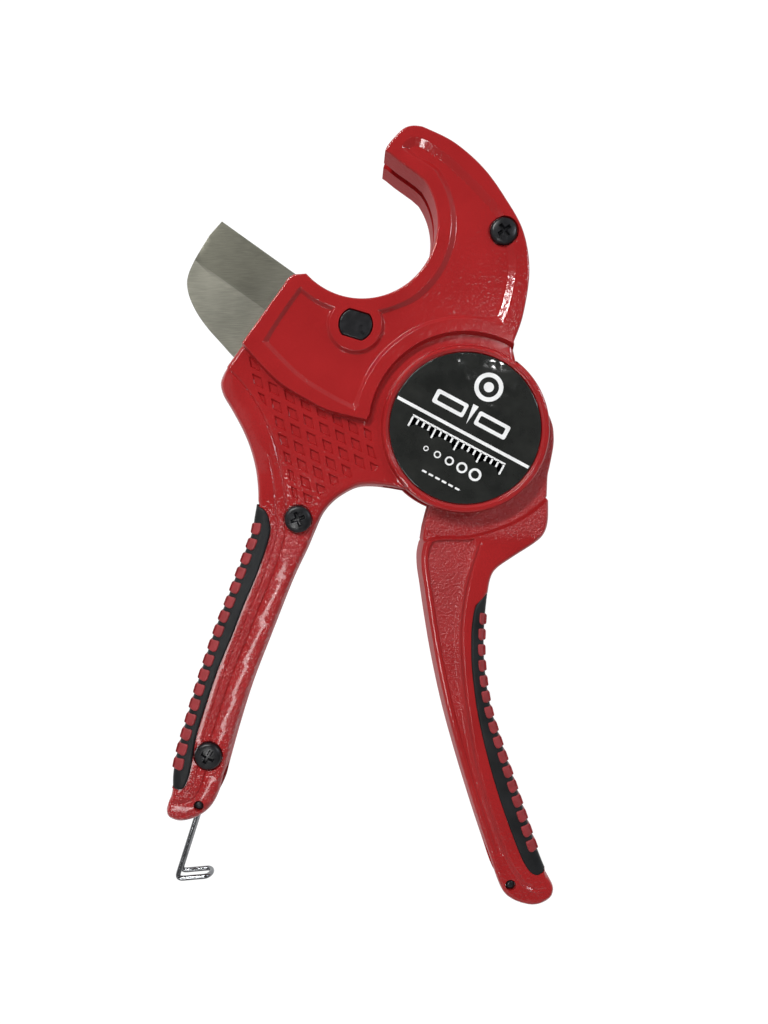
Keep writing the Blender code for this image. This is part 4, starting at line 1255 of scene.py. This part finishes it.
def rounded_corners(corners, radius):
    """A convex polygon with its corners rounded."""
    loop = []
    count = len(corners)
    for i in range(count):
        a, b, c = (Vector(corners[(i + k) % count]) for k in (-1, 0, 1))
        start = b + (a - b).normalized() * radius
        end = b + (c - b).normalized() * radius
        loop += bend(start, b, end, 5)
    return loop


def grip_blocks(name, side, inward, count, reaches):
    """Red blocks that show through the rubber all round the handle's outer side."""
    outer = smooth(side, 0.4)
    steps = [math.dist(a, b) for a, b in zip(outer, outer[1:])]
    lengths = np.concatenate([[0], np.cumsum(steps)])
    first = (lengths[-1] - BLOCK_PITCH * (count - 1)) / 2
    blocks = []
    for number in range(count):
        where = first + BLOCK_PITCH * number
        i = int(np.searchsorted(lengths, where)) - 1
        start, end = Vector(outer[i]), Vector(outer[i + 1])
        place = start.lerp(end, (where - lengths[i]) / steps[i])
        along = (end - start).normalized()
        across = Vector((-along.y, along.x)) * inward
        half = BLOCK_LENGTH / 2
        reach = reaches[0] + (reaches[1] - reaches[0]) * number / (count - 1)
        corners = [
            tuple(place + along * u + across * v)
            for u, v in (
                (-half * 0.82, -BLOCK_PROUD), (half * 0.9, -BLOCK_PROUD),
                (half, reach - 0.6), (half * 0.55, reach), (-half, reach),
            )
        ]
        blocks.append(one_block(f"{name}_{number}", leftward(corners), outer))
    return joined(name, blocks)


def one_block(name, corners, outer):
    loop = leftward(rounded_corners(corners, BLOCK_CORNER))
    face = grip_height(outer, BLOCK_TOP, GRIP_ROUND)

    def height(points):
        depth, _ = depth_inside(points, loop)
        return face(points) - rounding(depth, BLOCK_EDGE)

    lines = rounding_lines(loop, BLOCK_EDGE)
    return relief(name, [loop], height, both_ways(height), lines, lines, 1.1, 1.1)


def joined(name, objects):
    """Several pieces as one object."""
    form = bmesh.new()
    for obj in objects:
        form.from_mesh(obj.data)
        bpy.data.objects.remove(obj)
    mesh = bpy.data.meshes.new(name)
    form.to_mesh(mesh)
    form.free()
    return new_object(name, mesh)


# ---------------------------------------------------------------- blade

def blade_points():
    across = polar((0, 0), 1, EDGE_SLOPE)
    lead = polar(BLADE_AXIS, EDGE_LEAD, EDGE_SLOPE - 90)
    return across, lead


def blade_loop():
    across, lead = blade_points()
    reach = math.sqrt(HUB_RADIUS ** 2 - EDGE_LEAD ** 2)
    start = (lead[0] + across[0] * reach, lead[1] + across[1] * reach)
    tip = (lead[0] + across[0] * EDGE_LENGTH, lead[1] + across[1] * EDGE_LENGTH)
    start_direction = math.degrees(math.atan2(start[1] - BLADE_AXIS[1], start[0] - BLADE_AXIS[0]))
    hub = arc(BLADE_AXIS, HUB_RADIUS, 20.0, start_direction)
    teeth = []
    for number in range(TOOTH_COUNT):
        direction = FIRST_TOOTH + TOOTH_PITCH * number
        teeth += [polar(BLADE_AXIS, TOOTH_TIP, direction), polar(BLADE_AXIS, TOOTH_ROOT, direction)]
    web = arc(BLADE_AXIS, TOOTH_ROOT - 0.6, -150.0, FIRST_TOOTH - TOOTH_PITCH)
    return leftward([tip, *smooth(BLADE_END), *web, *teeth, *hub])


def blade_piece():
    across, lead = blade_points()
    into = (-across[1], across[0])
    bevel_line = [
        tuple(lead[k] + into[k] * BEVEL_WIDTH + across[k] * reach for k in (0, 1))
        for reach in (12.0, 62.0)
    ]
    loop = blade_loop()

    def from_edge(points):
        return (points[:, 0] - lead[0]) * into[0] + (points[:, 1] - lead[1]) * into[1]

    def height(points):
        share = np.clip(from_edge(points) / BEVEL_WIDTH, 0, 1)
        depth, _ = depth_inside(points, loop)
        z = EDGE_HALF + (BLADE_HALF - EDGE_HALF) * share
        return z - np.clip(EDGE_HALF - depth, 0, EDGE_HALF) * share

    lines = [(bevel_line, False), (offset(loop, EDGE_HALF, True), True)]
    obj = relief(
        "cutting_blade_ground", [loop, circle(BLADE_AXIS, BLADE_BORE, 64)], height,
        both_ways(height), lines, lines, 3.0, 3.0,
    )
    points = plan_points(obj)
    from_hub = (points[:, 0] - lead[0]) * across[0] + (points[:, 1] - lead[1]) * across[1]
    on_bevel = from_edge(points) < BEVEL_WIDTH + 0.01
    # Painted shade on the bevel: strongest towards the tip, and fading out towards the hub.
    write_attribute(obj, "bevel_painted_shade", on_bevel * (0.35 + 0.65 * ease((from_hub - 18.0) / 20.0)))
    return obj


# ---------------------------------------------------------------- screws and pins

def screw_head(name, centre, seat, turn):
    """A pan head with a domed top and a cross recess."""
    radius = SCREW_HEAD
    low = seat + 0.3
    outline = circle(centre, radius, 72)
    cross = cross_loop(centre, 4.3, 1.15, turn)
    floor = cross_loop(centre, 2.9, 0.55, turn)

    def height(points):
        away = from_centre(points, centre)
        z = low + 2.2 - 0.55 * (away / radius) ** 2 - 0.75 * rounding(radius - away, 0.9)
        depth, _ = depth_inside(points, cross)
        return z - 1.15 * np.clip(depth / 0.3, 0, 1) * (away < 3)

    lines = [*rounding_lines(outline, 0.9), (cross, True), (floor, True)]
    lines += [(circle(centre, r, 48), True) for r in (1.0, 1.8, 2.6)]
    return relief(name, [outline], height, flat(low), lines, (), 0.8, 3.0)


def cross_loop(centre, length, width, turn):
    loop = []
    for quarter in range(4):
        direction = turn + 90 * quarter
        tip = polar(centre, length / 2, direction)
        side = polar((0, 0), width / 2, direction + 90)
        inner = polar(centre, width / math.sqrt(2), direction + 45)
        loop += [
            (tip[0] - side[0], tip[1] - side[1]), (tip[0] + side[0], tip[1] + side[1]), inner,
        ]
    return leftward(loop)


def double_d_pin():
    loop = leftward(double_d(4.85, 3.9))

    def height(points):
        depth, _ = depth_inside(points, loop)
        return JAW_TOP - 0.25 - rounding(depth, 0.35)

    return relief(
        "blade_pivot_pin_top", [loop], height, flat(-7.8), rounding_lines(loop, 0.35), (), 1.4, 4.0
    )


def pin_head(name, centre, radius, top, low):
    loop = circle(centre, radius, 32)

    def height(points):
        return top - 0.6 * rounding(radius - from_centre(points, centre), radius * 0.8)

    return relief(name, [loop], height, flat(low), rounding_lines(loop, radius * 0.8), (), 0.8, 2.0)


# ---------------------------------------------------------------- latch wire

WIRE_RADIUS = 0.75
EYE_RADIUS = LATCH_PIN + 0.3 + WIRE_RADIUS
EYE_SWEEP = (70.0, -268.0)
LEG_SLOPE = -107.6
LEG_LENGTH = 25.4
BEND_REACH = 2.0
HOOK_SLOPE = 5.0
HOOK_LENGTH = 10.2
TURN_REACH = 1.8
LEGS_HALF_APART = 3.0


def latch_wire():
    """A wire bail: two eyes round the pin, two legs and a hooked end."""
    corner = polar(LATCH_AXIS, LEG_LENGTH, LEG_SLOPE)
    eye = arc(LATCH_AXIS, EYE_RADIUS, *(LEG_SLOPE + degrees for degrees in EYE_SWEEP), 12)
    leg_top = polar(LATCH_AXIS, EYE_RADIUS + 3.0, LEG_SLOPE)
    leg_end = polar(corner, BEND_REACH, LEG_SLOPE + 180)
    hook_start = polar(corner, BEND_REACH, HOOK_SLOPE)
    straight = HOOK_LENGTH - TURN_REACH
    hook_end = polar(corner, straight, HOOK_SLOPE)
    side = [*eye, leg_top, *bend(leg_end, corner, hook_start, 6), hook_end]
    turn = []
    for i in range(1, 12):
        angle = math.pi * i / 12
        x, y = polar(corner, straight + TURN_REACH * math.sin(angle), HOOK_SLOPE)
        turn.append((x, y, LEGS_HALF_APART * math.cos(angle)))
    front = [(*point, LEGS_HALF_APART) for point in side]
    back = [(x, y, -z) for x, y, z in reversed(front)]
    path = [*front, *turn, *back]
    curve = bpy.data.curves.new("latch_bail", "CURVE")
    curve.dimensions = "3D"
    curve.bevel_depth = WIRE_RADIUS * MM
    curve.bevel_resolution = 5
    curve.use_fill_caps = True
    spline = curve.splines.new("POLY")
    spline.points.add(len(path) - 1)
    for point, (x, y, z) in zip(spline.points, path):
        point.co = (x * MM, y * MM, (MIDDLE + z) * MM, 1)
    return curve_piece("latch_bail", curve)


# ---------------------------------------------------------------- label

LABEL_TURN = math.radians(-28.2)
LABEL_TOP = JAW_TOP - 0.3
INK = 0.05


def label_disc(name, top, bottom):
    loop = circle(AXIS, LABEL_RADIUS, 160)

    def height(points):
        return top - rounding(LABEL_RADIUS - from_centre(points, AXIS), 0.25)

    return relief(name, [loop], height, flat(bottom), rounding_lines(loop, 0.25), (), 3.0, 8.0)


def on_label(points):
    c, s = math.cos(LABEL_TURN), math.sin(LABEL_TURN)
    return [(u * c - v * s, u * s + v * c) for u, v in points]


def bar(u0, u1, v0, v1, radius=0.0):
    corners = [(u0, v0), (u1, v0), (u1, v1), (u0, v1)]
    return rounded_corners(corners, radius) if radius else corners


def label_print():
    """A generic pictogram: a pipe end, a pipe being cut, a scale of ticks and pipe sizes."""
    shapes = [([bar(-22.0, 22.0, -1.9, -0.95)], [])]
    shapes.append(([circle((0.4, 13.9), 4.3, 72)], [circle((0.4, 13.9), 3.0, 64)]))
    shapes.append(([circle((0.4, 13.9), 1.5, 48)], []))
    shapes.append(([bar(-12.6, -2.2, 2.2, 6.6, 0.8)], [bar(-11.4, -3.2, 3.3, 5.5, 0.5)]))
    shapes.append(([bar(1.4, 11.8, 2.2, 6.6, 0.8)], [bar(2.4, 10.6, 3.3, 5.5, 0.5)]))
    shapes.append(([[(-1.3, 7.4), (-0.4, 1.2), (0.5, 7.4)]], []))
    shapes.append(([bar(-15.5, 15.5, -4.2, -3.6)], []))
    for number in range(17):
        u = -15.2 + number * 1.9
        length = 3.4 if number % 4 == 0 else 1.9
        shapes.append(([bar(u - 0.28, u + 0.28, -4.0 - length, -4.0)], []))
    for number in range(5):
        radius = 0.8 + 0.28 * number
        centre = (-7.4 + number * 3.7 + 0.1 * number ** 2, -10.8)
        shapes.append(([circle(centre, radius, 40)], [circle(centre, radius * 0.62, 36)]))
    for number in range(6):
        u = -5.4 + number * 2.2
        shapes.append(([bar(u, u + 1.5, -17.3, -16.7, 0.2)], []))
    curve = bpy.data.curves.new("label_graphics", "CURVE")
    curve.dimensions = "2D"
    curve.fill_mode = "BOTH"
    curve.extrude = INK / 2
    for outers, holes in shapes:
        for loop in [*outers, *holes]:
            spline = curve.splines.new("POLY")
            spline.points.add(len(loop) - 1)
            spline.use_cyclic_u = True
            for point, (x, y) in zip(spline.points, on_label(clip_to_disc(loop))):
                point.co = (x, y, 0, 1)
    obj = curve_piece("label_graphics", curve)
    lift = Matrix.Translation((0, 0, MIDDLE + LABEL_TOP + INK / 2))
    obj.data.transform(Matrix.Scale(MM, 4) @ lift)
    return obj


def clip_to_disc(loop):
    """Points that lie outside the label are pulled in to its edge."""
    limit = LABEL_RADIUS - 0.4
    pulled = []
    for u, v in loop:
        away = math.hypot(u, v)
        if away > limit:
            u = math.copysign(math.sqrt(limit ** 2 - v ** 2), u)
        pulled.append((u, v))
    return pulled


# ---------------------------------------------------------------- stage

MIDDLE_PLACE = (-0.03, -0.02, 0.01)
WHITE = (1.0, 1.0, 1.0)
COOL = (0.85, 0.9, 1.0)
SOFTBOXES = (
    ("top_softbox", (-0.45, 0.7, 0.8), (0.6, 0.06), 10.5, WHITE),
    ("left_softbox", (-0.8, -0.1, 0.6), (0.3, 0.6), 0.16, WHITE),
    ("right_softbox", (0.75, 0.35, 0.7), (0.1, 0.4), 2.8, COOL),
    ("low_softbox", (-0.1, -0.8, 0.7), (0.8, 0.4), 0.6, WHITE),
)
DOWNLIGHT_HEIGHT = 0.7
DOWNLIGHTS = (
    ("strip_light", (-0.195, -0.2), (0.06, 0.3), 1.3, -24.0),
    ("small_light", (0.136, 0.148), (0.02, 0.009), 0.05, None),
)
WORLD_STOPS = ((0.15, 0.4), (0.95, 0.14))
CAMERA_PLACE = (-0.03504, -0.02478, 0.272)
CAMERA_LENS = 29.8
CAMERA_SHIFT = 0.0364


def add_area(name, place, size, power, target, colour):
    light = bpy.data.lights.new(name, "AREA")
    light.shape = "RECTANGLE"
    light.size, light.size_y = size
    light.energy = power
    light.color = colour
    obj = new_object(name, light)
    obj.location = place
    direction = Vector(target) - Vector(place)
    obj.rotation_euler = direction.to_track_quat("-Z", "Y").to_euler()
    return obj


def lights():
    for name, place, size, power, colour in SOFTBOXES:
        add_area(name, place, size, power, MIDDLE_PLACE, colour)
    for name, (x, y), size, power, turn in DOWNLIGHTS:
        light = add_area(name, (x, y, DOWNLIGHT_HEIGHT), size, power, (x, y, 0.0), WHITE)
        if turn is not None:
            light.rotation_euler = (0.0, 0.0, math.radians(turn))


def surroundings():
    """Grey that is lighter near the horizon than overhead."""
    world = bpy.data.worlds.new("studio")
    bpy.context.scene.world = world
    world.use_nodes = True
    tree = world.node_tree
    up = tree.nodes.new("ShaderNodeSeparateXYZ")
    tree.links.new(tree.nodes.new("ShaderNodeTexCoord").outputs["Generated"], up.inputs[0])
    grey = tree.nodes.new("ShaderNodeValToRGB")
    for element, (position, level) in zip(grey.color_ramp.elements, WORLD_STOPS):
        element.position = position
        element.color = (level, level, level, 1.0)
    tree.links.new(up.outputs["Z"], grey.inputs["Fac"])
    tree.links.new(grey.outputs["Color"], tree.nodes["Background"].inputs["Color"])


def white_floor():
    bpy.ops.mesh.primitive_plane_add(size=6.0, location=(0, 0, -0.0005))
    floor = bpy.context.object
    floor.name = "studio_floor"
    material, shader = new_material("floor_white", (0.06, 0.06, 0.06), 0.9)
    shader.inputs["Specular IOR Level"].default_value = 0.0
    shader.inputs["Emission Color"].default_value = (1.0, 1.0, 1.0, 1.0)
    shader.inputs["Emission Strength"].default_value = 1.0
    floor.data.materials.append(material)


def camera():
    lens = bpy.data.cameras.new("studio_camera")
    lens.lens = CAMERA_LENS
    lens.sensor_width = 36.0
    lens.clip_start = 0.01
    lens.shift_x = CAMERA_SHIFT
    obj = new_object("studio_camera", lens)
    obj.location = CAMERA_PLACE
    bpy.context.scene.camera = obj


# ---------------------------------------------------------------- assembly

red = red_enamel()
black_rubber = rubber()
block_red = grip_block()
ground = blade_steel()
bright = machined_steel("bright_turned_steel", (0.62, 0.62, 0.61), 0.25)
spring = machined_steel("spring_wire_steel", (0.42, 0.43, 0.45), 0.34)
pawl = machined_steel("pawl_machined_steel", (0.48, 0.48, 0.47), 0.38)
chrome = machined_steel("chrome_bail_wire", (0.22, 0.225, 0.235), 0.14)
oxide = black_oxide()
label_black = label_gloss()
ink = print_white()

finish_piece(body_half("front_casting", True), red, "body", "red_enamel", "front_shell")
finish_piece(
    flip_to_back(body_half("back_casting", False)), red, "body", "red_enamel", "back_shell"
)
finish_piece(handle_casting(), red, "handle", "red_enamel", "moving_handle")

finish_piece(
    rubber_grip("fixed_grip_rubber", FIXED_GRIP_SIDE, FIXED_GRIP_INNER, 1),
    black_rubber, "body", "grip_rubber", "fixed_grip",
)
finish_piece(
    rubber_grip("moving_grip_rubber", MOVING_GRIP_SIDE, MOVING_GRIP_INNER, -1),
    black_rubber, "handle", "grip_rubber", "moving_grip",
)
finish_piece(
    grip_blocks("fixed_grip_red_blocks", FIXED_GRIP_SIDE, 1, 17, (2.5, 3.0)),
    block_red, "body", "grip_block_red", "fixed_grip_blocks",
)
finish_piece(
    grip_blocks("moving_grip_red_blocks", MOVING_GRIP_SIDE, -1, 16, (1.9, 2.8)),
    block_red, "handle", "grip_block_red", "moving_grip_blocks",
)

finish_piece(blade_piece(), ground, "cutting_blade", "blade_steel", "blade")

for name, centre, seat, turn in SCREWS:
    head = screw_head(f"{name}_head", centre, seat, turn)
    finish_piece(head, oxide, "body", "black_steel", name)

finish_piece(double_d_pin(), oxide, "body", "black_steel", "blade_pivot_pin")
finish_piece(
    pin_head("latch_pin_steel", LATCH_AXIS, LATCH_PIN, PLATE_TOP - PIN_DROP, -8.6),
    oxide, "body", "black_steel", "latch_pin",
)
finish_piece(
    pin_head("catch_pin_steel", CATCH_AXIS, CATCH_PIN, HANDLE_TOP - PIN_DROP, -7.7),
    oxide, "handle", "black_steel", "catch_pin",
)
finish_piece(latch_wire(), chrome, "latch", "chrome_wire", "latch_wire")
finish_piece(
    label_disc("label_film", LABEL_TOP, LABEL_SEAT + 0.3), label_black, "body", "label_black",
    "label_disc",
)
finish_piece(label_print(), ink, "body", "label_black")

for name, material in (
    ("back_cover_disc", label_black), ("blade_pin_screw", oxide), ("handle_pivot_pin", bright),
    ("pivot_circlip", bright), ("holding_pawl_pin", bright), ("drive_pawl_pin", bright),
    ("blade_return_spring", spring), ("handle_return_spring", spring),
    ("drive_pawl_spring", spring), ("holding_pawl_spring", spring),
    ("drive_pawl", pawl), ("holding_pawl", pawl),
):
    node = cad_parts[name]
    for slot in node.material_slots:
        slot.material = material

bpy.context.scene.view_settings.view_transform = "Standard"
surroundings()
white_floor()
lights()
camera()
